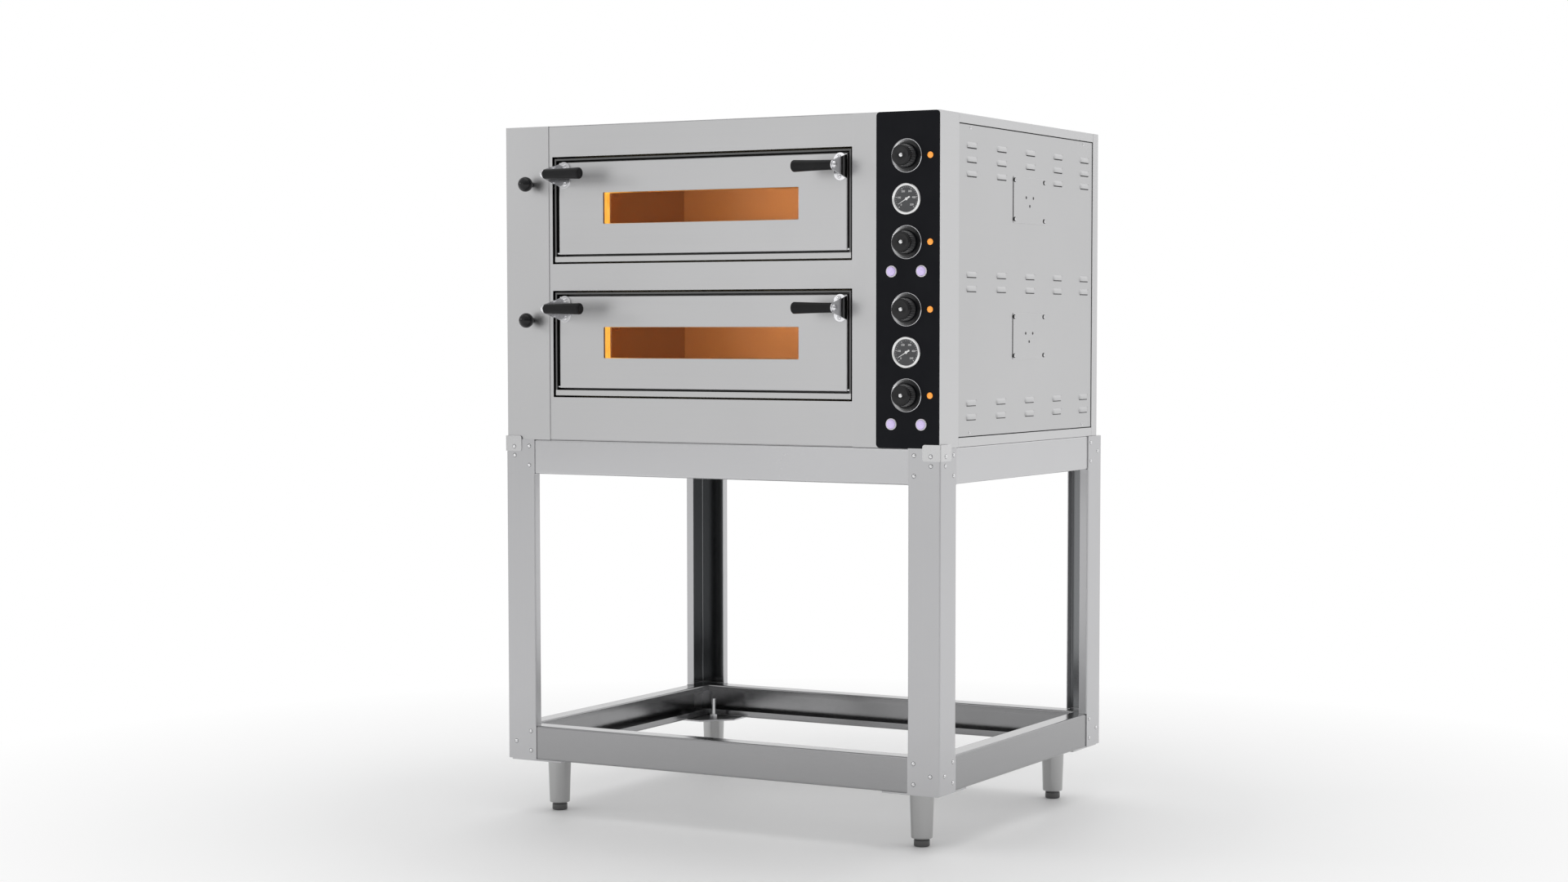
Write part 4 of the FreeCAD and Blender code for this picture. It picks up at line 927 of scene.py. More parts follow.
def facing_of(box: Array) -> tuple[Facing, Point]:
    """The way a thin head points: along its shortest side, away from the oven's middle.

    Args:
        box: the head's lowest and highest corner.

    Returns:
        The facing, and the centre of the head's seat.
    """
    low, high = box
    axis = int(np.argmin(high - low))
    middle = (low + high) / 2
    outwards = middle[axis] > OVEN_MIDDLE[axis]
    facing = ((Facing.LEFT, Facing.RIGHT), (Facing.FRONT, Facing.REAR),
              (Facing.DOWN, Facing.UP))[axis][int(outwards)]
    middle[axis] = low[axis] if outwards else high[axis]
    return facing, tuple(middle)


@dataclass
class Stand:
    """The open stand: bent corner legs, channel rails, clips, rivets, bolts and feet."""

    leg_flange: float = 75 * MM
    leg_lip: float = 20 * MM
    rail_high: float = 76 * MM
    rail_flange: float = 42 * MM
    rail_lip: float = 15 * MM
    sheet: float = 2 * MM
    bend: float = 4.2 * MM
    clearance: float = 0.5 * MM
    seam: float = 0.02 * MM
    shade_lining_sheet: float = 0.3 * MM
    shade_lining_gap: float = 1 * MM
    clip_corner: float = 5 * MM
    clip_sheet: float = 1.5 * MM
    clip_bend: float = 2.6 * MM
    bolt_spot: tuple[float, float] = (24 * MM, 62 * MM)
    foot_taper: float = 22.8 / 26
    foot_bore: float = 10.6 * MM
    stud_hole: float = 5.2 * MM

    def __post_init__(self) -> None:
        """Reads the stand's outer faces from the model."""
        self.low, self.high = box_of("legs")

    def corners(self) -> list[tuple[float, float, int, int]]:
        """The four outer corners as x, y and the inward signs of each."""
        return [(self.low[0], self.low[1], 1, 1), (self.high[0], self.low[1], -1, 1),
                (self.high[0], self.high[1], -1, -1), (self.low[0], self.high[1], 1, -1)]

    def sheet_run(self, surface: Surface, line: Array, ways: tuple[Array, Array, Array],
                  origin: Point, length: float, sheet: float | None = None) -> None:
        """Adds one bent sheet: its outer line p u + q v, its inner line one sheet to the left.

        Args:
            surface: takes the faces.
            line: corners (p, q) of the outside, with the sheet's thickness on the left.
            ways: directions u, v and the run's direction.
            origin: where p = q = 0 starts.
            length: how long the run is.
            sheet: its thickness, where it isn't the stand's own.
        """
        outer, left = bent_line(line, self.bend)
        inner = outer + left * (sheet or self.sheet)
        u_way, v_way, run = ways
        placed = [points[:, :1] * u_way + points[:, 1:] * v_way + origin
                  for points in (outer, inner)]
        surface.strip(*placed, run * 0.0, run * length)

    def legs(self) -> None:
        """Four corner legs with returned lips between the rails, and dark sheets over their insides
        as painted shade.
        """
        far, lip = self.leg_flange, self.leg_lip
        skin, short = self.sheet + 0.1 * MM, far - 3 * MM
        angle = np.array([(0, far), (0, 0), (far, 0)])
        lipped = np.array([(lip, far), (0, far), (0, 0), (far, 0), (far, lip)])
        inside = np.array([(skin, short), (skin, skin), (short, skin)])
        end = self.rail_high + self.clearance
        height = self.high[2] - self.low[2]
        legs, shade_linings = Surface(), Surface()
        for x, y, sign_x, sign_y in self.corners():
            ways = (sign_x * X_WAY, sign_y * Y_WAY, Z_WAY)
            for surface, line, start, length, sheet in (
                    (legs, angle, 0.0, end, None),
                    (legs, lipped, end + self.seam, height - 2 * (end + self.seam), None),
                    (legs, angle, height - end, end, None),
                    (shade_linings, inside, end + self.shade_lining_gap,
                     height - 2 * (end + self.shade_lining_gap), self.shade_lining_sheet)):
                self.sheet_run(surface, line, ways, (x, y, self.low[2] + start), length, sheet)
        attach(legs.object("stand_legs_formed"), "root", "stand_steel", "legs")
        # dark sheets over the legs' insides: painted shade
        attach(shade_linings.object("stand_leg_inside_shade"), "root", "stand_steel", finish="painted_shade_steel")

    def rails(self, node: str, finish: str) -> None:
        """One ring of four channels with returned lips, open inwards.

        Args:
            node: the model's node for this ring.
            finish: the ring's finish.
        """
        deep, high, lip = self.rail_flange, self.rail_high, self.rail_lip
        line = np.array([(deep, high - lip), (deep, high), (0, high),
                         (0, 0), (deep, 0), (deep, lip)])
        low, top = box_of(node)
        inset = self.sheet + deep + 2 * self.clearance
        start_y, span_x = self.low[1] + inset, top[0] - low[0]
        span_y = self.high[1] - self.low[1] - 2 * inset
        surface = Surface()
        for inwards, run, x, y, length in (
                (Y_WAY, X_WAY, low[0], low[1], span_x),
                (-Y_WAY, X_WAY, low[0], top[1], span_x),
                (X_WAY, Y_WAY, self.low[0] + self.sheet, start_y, span_y),
                (-X_WAY, Y_WAY, self.high[0] - self.sheet, start_y, span_y)):
            self.sheet_run(surface, line, (inwards, Z_WAY, run), (x, y, low[2]), length)
        attach(surface.object(f"{node}_formed"), "root", "stand_steel", node, finish=finish)

    def clips(self) -> None:
        """The two bent retaining clips at the front corners, with rounded free corners.

        At a distance s < c from a free end the edge drops by c - sqrt(c^2 - (c - s)^2), where c
        is the corner's radius.
        """
        surface, corner = Surface(), self.clip_corner
        for low, high in islands("corner_clips"):
            side = 1 if high[0] > 0 else -1
            edge = high[0] if side > 0 else low[0]
            line = np.array([(0, high[1] - low[1]), (0, 0), (high[0] - low[0], 0)])
            outer, left = bent_line(line, self.clip_bend)
            steps = np.linalg.norm(np.diff(outer, axis=0, prepend=outer[:1]), axis=1).cumsum()
            inset = np.linspace(0, corner, 7)
            where = np.unique(np.concatenate([steps, inset, steps[-1] - inset[::-1]]))
            outer, left = (np.column_stack([np.interp(where, steps, line_of[:, axis])
                                            for axis in (0, 1)]) for line_of in (outer, left))
            free = np.minimum(np.minimum(where, where[-1] - where), corner)
            drop = corner - np.sqrt(np.maximum(corner ** 2 - (corner - free) ** 2, 0))
            inner = outer + left * self.clip_sheet
            rows = [np.column_stack([edge - side * points[:, 0], low[1] + points[:, 1], level])
                    for points, level in ((outer, low[2] + drop), (outer, high[2] - drop),
                                          (inner, high[2] - drop), (inner, low[2] + drop))]
            surface.grid(np.stack(rows), along=True)
            for end in (0, -1):
                surface.grid(np.array([[rows[0][end], rows[1][end]],
                                       [rows[3][end], rows[2][end]]]))
        attach(surface.object("corner_clips_formed"), "root", "stand_steel", "corner_clips",
               finish="clip_steel")

    def rivets(self) -> None:
        """A domed head at each of the model's rivets, on a thin dark ring that is a painted shadow.
        """
        heads, shadow_rings = Surface(), Surface()
        for box in islands("stand_rivets"):
            facing, spot = facing_of(box)
            thin, _, wide = np.sort(box[1] - box[0])
            heads.turned(np.vstack([[0, 0], dome(wide / 2, thin, 0, 7)]), 18, facing, spot)
            # a dark ring a quarter wider than the head: painted shadow
            rim = np.array([[0, 0], [1.25, 0], [1.2, 0.12], [0, 0.12]]) * (wide / 2, 1 * MM)
            shadow_rings.turned(rim, 18, facing, spot)
        attach(heads.object("stand_rivet_heads"), "root", "bright_steel", "stand_rivets")
        attach(shadow_rings.object("stand_rivet_shadows"), "root", "stand_steel", finish="painted_shade_steel")

    def feet(self) -> None:
        """Tapered foot tubes with rolled rims, turned ends, and the plates and studs above."""
        surface = Surface()
        for low, high in islands("foot_tubes"):
            top, tall = (high - low)[0] / 2, high[2] - low[2]
            seat = (*((low + high) / 2)[:2], low[2])
            profile = np.vstack([
                [self.foot_bore, 28 * MM], [self.foot_bore, 1 * MM], [11.6 * MM, 0],
                arc(2.2 * MM, -90, 0, 6) + (top * self.foot_taper - 2.2 * MM, 2.2 * MM),
                arc(1.6 * MM, 0, 90, 5) + (top - 1.6 * MM, tall - 1.6 * MM),
                [self.stud_hole, tall], [self.stud_hole, tall - 3 * MM]])
            surface.turned(profile, 56, Facing.UP, seat)
            surface.turned(profile[[-1, 0]] * (0.98, 1), 56, Facing.UP, seat)
        attach(surface.object("foot_tubes_turned"), "root", "foot_steel", "foot_tubes")
        for corner in ("front_left", "front_right", "rear_right", "rear_left"):
            node = f"foot_end_{corner}"
            low, high = box_of(node)
            radius, middle = (high - low)[0] / 2, (low + high) / 2
            neck, stem, tip = radius - 1.2 * MM, 10 * MM, high[2]
            profile = np.vstack([[0, 0], arc(2.5 * MM, -90, 0, 6) + (radius - 2.5 * MM, 2.5 * MM),
                                 [radius, 13 * MM], [neck, 14.4 * MM], [neck, 17.2 * MM],
                                 [stem, 17.4 * MM], [stem, tip - 1 * MM], [9 * MM, tip],
                                 [0, tip]])
            end = Surface().turned(profile, 40, Facing.UP, (middle[0], middle[1], 0.0))
            attach(end.object(f"{node}_turned"), node, "foot_steel", node, finish="end_steel")
        formed("foot_plates", 0.6 * MM, "stand_steel")
        formed("foot_studs", 0.6 * MM, "bright_steel")

    def bolts(self) -> None:
        """Hexagon heads that clamp each corner's rails to the foot plate, on round washers."""
        surface = Surface()
        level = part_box("bottom_rails")[0][2] + self.sheet
        washer = np.array([[0, 0], [7.5, 0], [7.5, 0.9], [7.1, 1.2], [0, 1.2]]) * MM
        head = np.array([[0, 1.2], [5.8, 1.2], [5.8, 5.2], [5.2, 5.8], [0, 5.8]]) * MM
        for x, y, sign_x, sign_y in self.corners():
            for across, deep in (self.bolt_spot, self.bolt_spot[::-1]):
                spot = (x + sign_x * across, y + sign_y * deep, level)
                surface.turned(washer, 24, Facing.UP, spot).turned(head, 6, Facing.UP, spot)
        attach(surface.object("stand_bolt_heads", 25.0), "root", "bright_steel")

    def build(self) -> None:
        """Makes the whole stand."""
        self.legs()
        self.rails("top_rails", "rail_steel")
        # the bottom rails take a darker copy of the rail steel as painted shade
        self.rails("bottom_rails", "rail_painted_shade")
        self.clips()
        self.rivets()
        self.bolts()
        self.feet()


@dataclass
class Casing:
    """The oven's outer sheets: trays, pillars, fascia, louvered sides, covers and their screws."""

    louver_length: float = 49 * MM
    louver_height: float = 11 * MM
    louver_proud: float = 4 * MM
    louver_first: float = 150.4 * MM
    louver_pitch: float = 147.2 * MM
    louver_rows: tuple[tuple[float, int], ...] = (
        (0.6270, 5), (0.5975, 5), (0.5680, 4), (0.3589, 5), (0.3294, 5), (0.0913, 5), (0.0618, 5))
    panel_sheet: float = 1.2 * MM
    panel_edges: tuple[float, float, float, float] = (0.0195, 0.6705, 0.0864, 0.785)
    pillar_set_back: float = 1.5 * MM
    gap_width: float = 2.2 * MM
    rear_inset: float = 11 * MM
    cover_holes: tuple[tuple[float, float], ...] = (
        (-20.5 * MM, 6 * MM), (16.5 * MM, 6 * MM), (-2 * MM, -12 * MM))

    def __post_init__(self) -> None:
        """Reads where the places on the sides are measured from: the front's y, the floor's z."""
        self.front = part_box("front_pillars")[0][1] + self.pillar_set_back
        self.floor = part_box("base_pan")[0][2]

    def side_face(self, node: str, facing: Facing) -> float:
        """The x of a side sheet's flat face, behind its hoods.

        Args:
            node: the model's node.
            facing: the way the side faces.

        Returns:
            The face's x, in metres.
        """
        low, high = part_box(node)
        outward = facing.value[2][0]
        return (high[0] if outward > 0 else low[0]) - outward * self.louver_proud

    def louver(self) -> Array:
        """One pressed hood, in u along it, v up it and w outwards.

        The height is 0.8 proud (1 - |s|^8) sin(q pi / 2)^0.7, where s runs from -1 to 1 along the
        hood and q from 0 at its upper edge to 1 at its open lower lip.
        """
        share, fall = np.meshgrid(np.linspace(-1, 1, 17), np.linspace(0, 1, 7))
        swell = (1 - np.abs(share) ** 8) * np.sin(fall * math.pi / 2) ** 0.7
        return np.stack([share * self.louver_length / 2, (0.5 - fall) * self.louver_height,
                         self.louver_proud * 0.8 * swell], -1)

    def side_panel(self, node: str, facing: Facing) -> None:
        """A side sheet with its rows of hoods, and black slots under them as painted shade of the
        openings.

        A row of four leaves its middle place free for an access cover.

        Args:
            node: the model's node.
            facing: the way the side faces.
        """
        low, high = box_of(node)
        middle, face = (low + high) / 2, self.side_face(node, facing)
        back = face - facing.value[2][0] * self.panel_sheet
        surface, slot_shade = Surface(), Surface()
        surface.pressed((high[1] - low[1], high[2] - low[2]), 1.0 * MM, self.panel_sheet, 0.3 * MM,
                        facing, (back, middle[1], middle[2]))
        hood = self.louver()
        lining = hood * (0.97, 1, 0.86) - (0, 0, 0.15 * MM)
        slot = plate_loops((self.louver_length * 0.92, 2.4 * MM), 1 * MM, 0.25 * MM, 0.1 * MM, 3)
        slot -= (0, self.louver_height / 2 + 0.9 * MM, 0.1 * MM)
        for level, count in self.louver_rows:
            for column in (0, 1, 3, 4) if count == 4 else range(5):
                spot = (face, self.front + self.louver_first + column * self.louver_pitch,
                        self.floor + level)
                surface.grid(facing.place(hood, spot))
                surface.grid(facing.place(lining, spot)[::-1])
                slot_shade.stack(facing.place(slot, spot))
        attach(surface.object(f"{node}_pressed", 40.0), "root", "casing_steel", node,
               finish="panel_steel")
        # black slots under the hoods: painted shade of the openings
        attach(slot_shade.object(f"{node}_slots"), "root", "casing_steel", finish="black_nylon")

    def screws(self) -> None:
        """Pan heads with a cross recess: the dome dips by a narrow band along u and along v."""
        surface = Surface()
        angle = np.linspace(0, 2 * math.pi, 32, endpoint=False)
        share = np.array([1.0, 0.95, 0.8, 0.6, 0.45, 0.3, 0.15, 0.0])[:, None]
        u_part, v_part = share * np.cos(angle), share * np.sin(angle)
        band = np.minimum(np.abs(u_part), np.abs(v_part)) < 0.13
        rise = np.sqrt(np.maximum(1 - share ** 2 * 0.96, 0)) - band * (share < 0.62) * 0.55
        shape = np.stack([u_part, v_part, rise], -1)
        shape = np.concatenate([0 * shape[:1], shape[:1] * (1, 1, 0), shape])
        for box in islands("casing_screws"):
            facing, seat = facing_of(box)
            tall, _, wide = np.sort(box[1] - box[0])
            surface.grid(facing.place(shape * (wide / 2, wide / 2, tall), seat), around=True)
        attach(surface.object("casing_screw_heads"), "root", "bright_steel", "casing_screws")

    def covers(self) -> None:
        """The two access covers, each with rolled edges and three punched holes painted black as
        shade.
        """
        surface, holes = Surface(), Surface()
        cup = np.column_stack([[0, 2.9, 3.2, 2.8, 2.2, 0], [0, 0, 0.25, 0.35, 0.1, 0.1]]) * MM
        for low, high in islands("access_covers"):
            middle = (low + high) / 2
            surface.pressed((high[1] - low[1], high[2] - low[2]), 1.5 * MM, high[0] - low[0],
                            0.6 * MM, Facing.RIGHT, (low[0], middle[1], middle[2]))
            for across, up in self.cover_holes:
                holes.turned(cup, 20, Facing.RIGHT, (high[0], middle[1] + across, middle[2] + up))
        attach(surface.object("access_covers_pressed"), "root", "casing_steel", "access_covers",
               finish="panel_steel")
        # black cups in the punched holes: painted shade
        attach(holes.object("access_cover_hole_shade"), "root", "casing_steel", finish="black_nylon")

    def joint(self, surface: Surface, facing: Facing, centre: Point,
              size: tuple[float, float], reach: float) -> None:
        """Adds the four thin strips of a dark joint round a rectangle.

        Args:
            surface: takes the faces.
            facing: the way the joint faces.
            centre: the rectangle's centre.
            size: width and height between the strips' centre lines.
            reach: how much longer each strip is than its side.
        """
        across, up = size
        for side in (-1, 1):
            for strip, offset in (((across + reach, self.gap_width), (0, side * up / 2, 0)),
                                  ((self.gap_width, up + reach), (side * across / 2, 0, 0))):
                spot = facing.place(np.array(offset), centre)
                surface.pressed(strip, 0.4 * MM, 0.35 * MM, 0.15 * MM, facing, spot, 3)

    def gaps(self) -> None:
        """The dark joints round each side sheet and along the front edge of the access covers, and
        a dark crescent beside each cover screw as a painted shadow.
        """
        surface, skin = Surface(), 0.1 * MM
        foot, head, near, end = self.panel_edges
        size = (end - near - self.gap_width, head - foot - self.gap_width)
        for facing, node in ((Facing.LEFT, "side_panel_left"), (Facing.RIGHT, "side_panel_right")):
            face = self.side_face(node, facing) - facing.value[2][0] * skin
            centre = (face, self.front + (near + end) / 2, self.floor + (foot + head) / 2)
            self.joint(surface, facing, centre, size, self.gap_width)
        for low, high in islands("access_covers"):
            surface.pressed((1.8 * MM, high[2] - low[2] - 6 * MM), 0.5 * MM, 0.5 * MM, 0.2 * MM,
                            Facing.RIGHT,
                            (low[0] - skin, low[1] - 1.1 * MM, (low[2] + high[2]) / 2), 3)
            for box in islands("casing_screws"):
                x, y, z = box.mean(0)
                if x > 0 and low[1] < y < high[1] and low[2] < z < high[2]:
                    # a dark crescent behind each cover screw: painted shadow
                    surface.pressed((13 * MM, 9.6 * MM), 4.6 * MM, 0.3 * MM, 0.1 * MM,
                                    Facing.RIGHT, (high[0] - skin, y - 2.6 * MM, z), 10)
        attach(surface.object("casing_gaps"), "root", "casing_steel", finish="shadow_gap")

    def rear(self) -> None:
        """The rear panel's folded joint, a little in from its edges, and its round screws."""
        joint, heads = Surface(), Surface()
        low, high = box_of("rear_panel")
        inset = self.rear_inset
        middle, size = (low + high) / 2, high - low - 2 * inset
        self.joint(joint, Facing.REAR, (middle[0], high[1] - 0.1 * MM, middle[2]),
                   (size[0], size[2]), 0.0)
        head = np.vstack([[0, 0], [4.2 * MM, 0], dome(4.2 * MM, 2.4 * MM, 0.5 * MM, 7)[:-2],
                          np.array([[1.5, 2.7], [1.3, 1.6], [0, 1.6]]) * MM])
        spots = [(x, z) for x in (-1, 1) for z in (-1, 0, 1)]
        spots += [(x, z) for x in (-0.36, 0.36) for z in (-1, 1)]
        for across, up in spots:
            heads.turned(head, 28, Facing.REAR,
                         (middle[0] + across * (size[0] / 2 - inset), high[1],
                          middle[2] + up * (size[2] / 2 - inset)))
        attach(joint.object("rear_joint"), "root", "casing_steel", finish="shadow_gap")
        attach(heads.object("rear_screw_heads"), "root", "bright_steel")

    def build(self) -> None:
        """Makes the whole casing."""
        for node, width, slot in (("front_fascia", 0.7, "front_steel"),
                                  ("front_pillars", 0.0, "casing_steel"),
                                  ("top_cover", 0.7, "casing_steel"),
                                  ("base_pan", 0.7, "casing_steel"),
                                  ("rear_panel", 0.7, "casing_steel")):
            formed(node, width * MM, slot)
        self.side_panel("side_panel_left", Facing.LEFT)
        self.side_panel("side_panel_right", Facing.RIGHT)
        self.screws()
        self.covers()
        self.gaps()
        self.rear()


@dataclass
class Controls:
    """The black control plate with its knobs, dial thermometers, switches and pilot lamps."""

    bead: float = 2.2 * MM
    bowl_edge: float = 25.2 * MM
    bowl_depth: float = 1.6 * MM
    flutes: int = 28
    flute_depth: float = 0.014
    dial_marks: int = 26
    dial_steps: tuple[str, ...] = ("0", "100", "200", "300", "400", "500")
    dial_start: float = 225.0
    dial_sweep: float = 270.0
    digit_ring: float = 17.2 * MM
    digit_size: float = 5.6 * MM
    needle_turn: float = 210.0
    collar_wall: float = 2.5 * MM

    def __post_init__(self) -> None:
        """Reads the y of the plate's face."""
        self.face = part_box("control_plate")[0][1]

    def dial_way(self, step: float, steps: int) -> Array:
        """The unit direction (u, v) of one of a dial's evenly spaced steps, counted from 0."""
        turn = math.radians(self.dial_start - self.dial_sweep * step / (steps - 1))
        return np.array([math.cos(turn), math.sin(turn)])

    def bezels(self) -> None:
        """A thin half-round ring about each knob, and the shallow glossy dish inside it."""
        rings, slopes, dishes = Surface(), Surface(), Surface()
        width, lift = self.bead, (0, 0.05 * MM)
        for low, high in islands("knob_bezels"):
            middle, outer, proud = (low + high) / 2, (high - low)[0] / 2, high[1] - low[1]
            seat = (middle[0], high[1], middle[2])
            bead = arc(width / 2, 0, 180, 9) * (1, 2 * proud / width) + (outer - width / 2, 0)
            rings.turned(np.vstack([bead, [outer - width, 0.0], [outer, 0.0]]), 72,
                         Facing.FRONT, seat)
            share = np.linspace(0, 1, 9)
            bowl = np.column_stack([
                outer - width - 0.1 * MM - share * (outer - width - self.bowl_edge),
                self.bowl_depth * np.clip(1 - share / 0.5, 0, 1) + 0.25 * MM])
            for part, surface in ((bowl[:5], slopes), (bowl[4:], dishes)):
                profile = np.vstack([part[:1] * (1, 0) + lift, part, part[-1:] * (1, 0) + lift])
                surface.turned(profile, 72, Facing.FRONT, seat, along=True)
        attach(rings.object("knob_bezel_rings"), "root", "chrome", "knob_bezels")
        attach(slopes.object("knob_bezel_slopes"), "root", "chrome", finish="dish_chrome")
        attach(dishes.object("knob_bezel_dishes"), "root", "black_plate", finish="black_gloss")

    def knob(self, node: str) -> None:
        """A turned knob: fluted skirt r (1 + f cos n a), rolled crown and a bright centre button.

        Args:
            node: the model's node.
        """
        low, high = box_of(node)
        radius, middle = (high - low)[0] / 2, (low + high) / 2
        top, back = self.face - low[1], self.face - high[1]
        skirt = np.array([[0.985, 1], [1.0, 1.8], [0.985, 6], [0.94, 12], [0.915, 18]])
        profile = np.vstack([[0, 1 * MM], skirt * (radius, MM),
                             arc(4.5 * MM, 0, 90, 8) + (radius * 0.90 - 4.5 * MM, top - 4.6 * MM),
                             [radius * 0.55, top - 0.25 * MM], [radius * 0.30, top - 0.9 * MM],
                             [5.2 * MM, top - 1.2 * MM], [5.0 * MM, top - 2.2 * MM],
                             [0, top - 2.2 * MM]])
        points, level = lathe(profile, 168), profile[:, 1:]
        angle = np.linspace(0, 2 * math.pi, 168, endpoint=False)
        share = np.clip((level - 5 * MM) / (5 * MM), 0, 1)
        share = share * np.clip((top - 3 * MM - level) / (4 * MM), 0, 1)
        points[..., :2] *= (1 + self.flute_depth * share * np.cos(self.flutes * angle))[..., None]
        seat = (middle[0], self.face, middle[2])
        body = Surface().grid(Facing.FRONT.place(points, seat), around=True)
        body.turned(np.array([[0, back], [3 * MM, back], [3 * MM, 1.2 * MM], [0, 1.2 * MM]]), 20,
                    Facing.FRONT, seat)
        attach(body.object(f"{node}_turned", 40.0), node, "black_grip", node,
               finish="black_gloss")
        profile = np.vstack([[0, top - 2.3 * MM], [4.3 * MM, top - 2.3 * MM],
                             dome(4.3 * MM, 1.5 * MM, top - 1.9 * MM, 7)])
        pip = Surface().turned(profile, 32, Facing.FRONT, seat)
        attach(pip.object(f"{node}_pip"), node, "chrome", finish="dish_chrome")

    def print_number(self, text: str, middle: Array, into: bmesh.types.BMesh) -> None:
        """Adds one printed number as flat faces.

        Args:
            text: the digits.
            middle: the number's centre, on the dial's face.
            into: takes the faces.
        """
        curve = bpy.data.curves.new("dial_number", "FONT")
        curve.body, curve.size, curve.extrude = text, self.digit_size, 0.0
        curve.align_x, curve.align_y = "CENTER", "CENTER"
        holder = bpy.data.objects.new("dial_number", curve)
        mesh = bpy.data.meshes.new_from_object(holder)
        bpy.data.objects.remove(holder)
        flat = np.empty(len(mesh.vertices) * 3)
        mesh.vertices.foreach_get("co", flat)
        mesh.vertices.foreach_set("co", Facing.FRONT.place(flat.reshape(-1, 3), middle).ravel())
        into.from_mesh(mesh)
        bpy.data.meshes.remove(mesh)

    def gauges(self) -> None:
        """Two thermometers: a rolled satin rim and a dark dial with marks and numbers."""
        rims, dials, marks, numbers = Surface(), Surface(), Surface(), bmesh.new()
        for low, high in islands("gauge_cases"):
            middle, outer = (low + high) / 2, (high - low)[0] / 2
            seat, proud = (middle[0], self.face, middle[2]), self.face - low[1]
            roll = arc(1.0, 0, 180, 15) * (3.1 * MM, proud - 1.2 * MM)
            profile = np.vstack([[outer, 0], [outer, 0.8 * MM],
                                 roll + (outer - 3.3 * MM, 1.2 * MM),
                                 [outer - 6.6 * MM, 0.9 * MM], [outer - 6.6 * MM, 0]])
            rims.turned(profile, 96, Facing.FRONT, seat, along=True)
            face = np.array([[0, 0.2], [outer / MM - 6.0, 0.2], [outer / MM - 6.0, 1.0],
                             [outer / MM - 7.0, 1.05], [0, 1.05]]) * MM
            dials.turned(face, 72, Facing.FRONT, seat)
            for step in range(self.dial_marks):
                start, half = (22.2, 0.42) if step % 5 == 0 else (23.6, 0.22)
                way = self.dial_way(step, self.dial_marks)
                side = np.array([-way[1], way[0]]) * half
                outline = np.array([start * way - side, 25.4 * way - side,
                                    25.4 * way + side, start * way + side]) * MM
                loops = raised(outline, (1.02 * MM, 1.12 * MM))
                marks.stack(Facing.FRONT.place(loops, seat))
            for number, text in enumerate(self.dial_steps):
                way = self.dial_way(number, len(self.dial_steps)) * self.digit_ring
                self.print_number(text, Facing.FRONT.place(np.array([*way, 1.1 * MM]), seat),
                                  numbers)
        attach(rims.object("gauge_rims", 50.0), "root", "bright_steel", "gauge_cases",
               finish="satin_rim")
        attach(dials.object("gauge_dials"), "root", "bright_steel", finish="dial_black")
        attach(marks.object("gauge_marks"), "root", "pointer_white")
        digits = bpy.data.meshes.new("gauge_numbers")
        numbers.to_mesh(digits)
        numbers.free()
        attach(linked(digits), "root", "pointer_white")

    def pointer(self, deck: str, case: Array) -> None:
        """A needle that tapers from its hub to a point, with a broad tail, over a domed hub.

        Args:
            deck: lower or upper.
            case: the box of the deck's thermometer.
        """
        node = f"gauge_pointer_{deck}"
        low, high = box_of(node)
        middle, thick = case.mean(0), high[1] - low[1]
        turn = math.radians(self.needle_turn)
        way = np.array([math.cos(turn), math.sin(turn)])
        side = np.array([-way[1], way[0]])
        along = np.array([-9, -8.2, -3, 0, 3, 22, 22.4]) * MM
        across = np.array([1.3, 1.8, 1.5, 1.2, 0.9, 0.3, 0.1]) * MM
        along, across = np.append(along, along[::-1]), np.append(across, -across[::-1])
        outline = along[:, None] * way + across[:, None] * side
        seat = (middle[0], high[1], middle[2])
        loops = raised(outline, (0.05 * MM, thick * 0.7))
        needle = Surface().stack(Facing.FRONT.place(loops, seat))
        hub = dome(3.0 * MM, thick - 0.3 * MM, 0.3 * MM, 6)
        needle.turned(np.vstack([[0, 0], [3.0 * MM, 0], hub]), 32, Facing.FRONT, seat)
        attach(needle.object(f"gauge_needle_{deck}"), node, "pointer_white", node)

    def lamps(self) -> None:
        """Four pilot lamps: a domed lens on a thin collar."""
        lenses = Surface()
        for low, high in islands("pilot_lamps"):
            middle, radius, proud = (low + high) / 2, (high - low)[0] / 2, self.face - low[1]
            profile = np.vstack([[0, 0], [radius, 0], [radius, 0.5 * MM],
                                 dome(radius * 0.94, proud - 0.7 * MM, 0.7 * MM, 10)])
            lenses.turned(profile, 36, Facing.FRONT, (middle[0], self.face, middle[2]))
        attach(lenses.object("pilot_lamp_lenses"), "root", "orange_lens", "pilot_lamps")

    def switches(self) -> None:
        """White collars with rounded lips, and the domed translucent push caps inside them."""
        rings, wall = Surface(), self.collar_wall
        for low, high in islands("button_collars"):
            middle, outer, proud = (low + high) / 2, (high - low)[0] / 2, self.face - low[1]
            lip = arc(1.0, 0, 180, 9) * (wall / 2, 1.2 * MM)
            bore = outer - wall + 0.6 * MM
            profile = np.vstack([[outer, 0], lip + (outer - wall / 2, proud - 1.2 * MM),
                                 [outer - wall, -9 * MM], [bore, -9 * MM], [bore, 0]])
            rings.turned(profile, 56, Facing.FRONT, (middle[0], self.face, middle[2]), along=True)
        attach(rings.object("button_collar_rings"), "root", "switch_white", "button_collars")
        for name in ("lower_lamp", "lower_power", "upper_lamp", "upper_power"):
            node = f"button_{name}"
            low, high = box_of(node)
            middle, radius, length = (low + high) / 2, (high - low)[0] / 2, high[1] - low[1]
            profile = np.vstack([[0, 0], [radius * 0.96, 0], [radius, 0.5 * MM],
                                 dome(radius, 2.2 * MM, length - 2.2 * MM, 9)])
            cap = Surface().turned(profile, 48, Facing.FRONT, (middle[0], high[1], middle[2]))
            attach(cap.object(f"{node}_cap"), node, "switch_white", node, finish="lilac_lens")

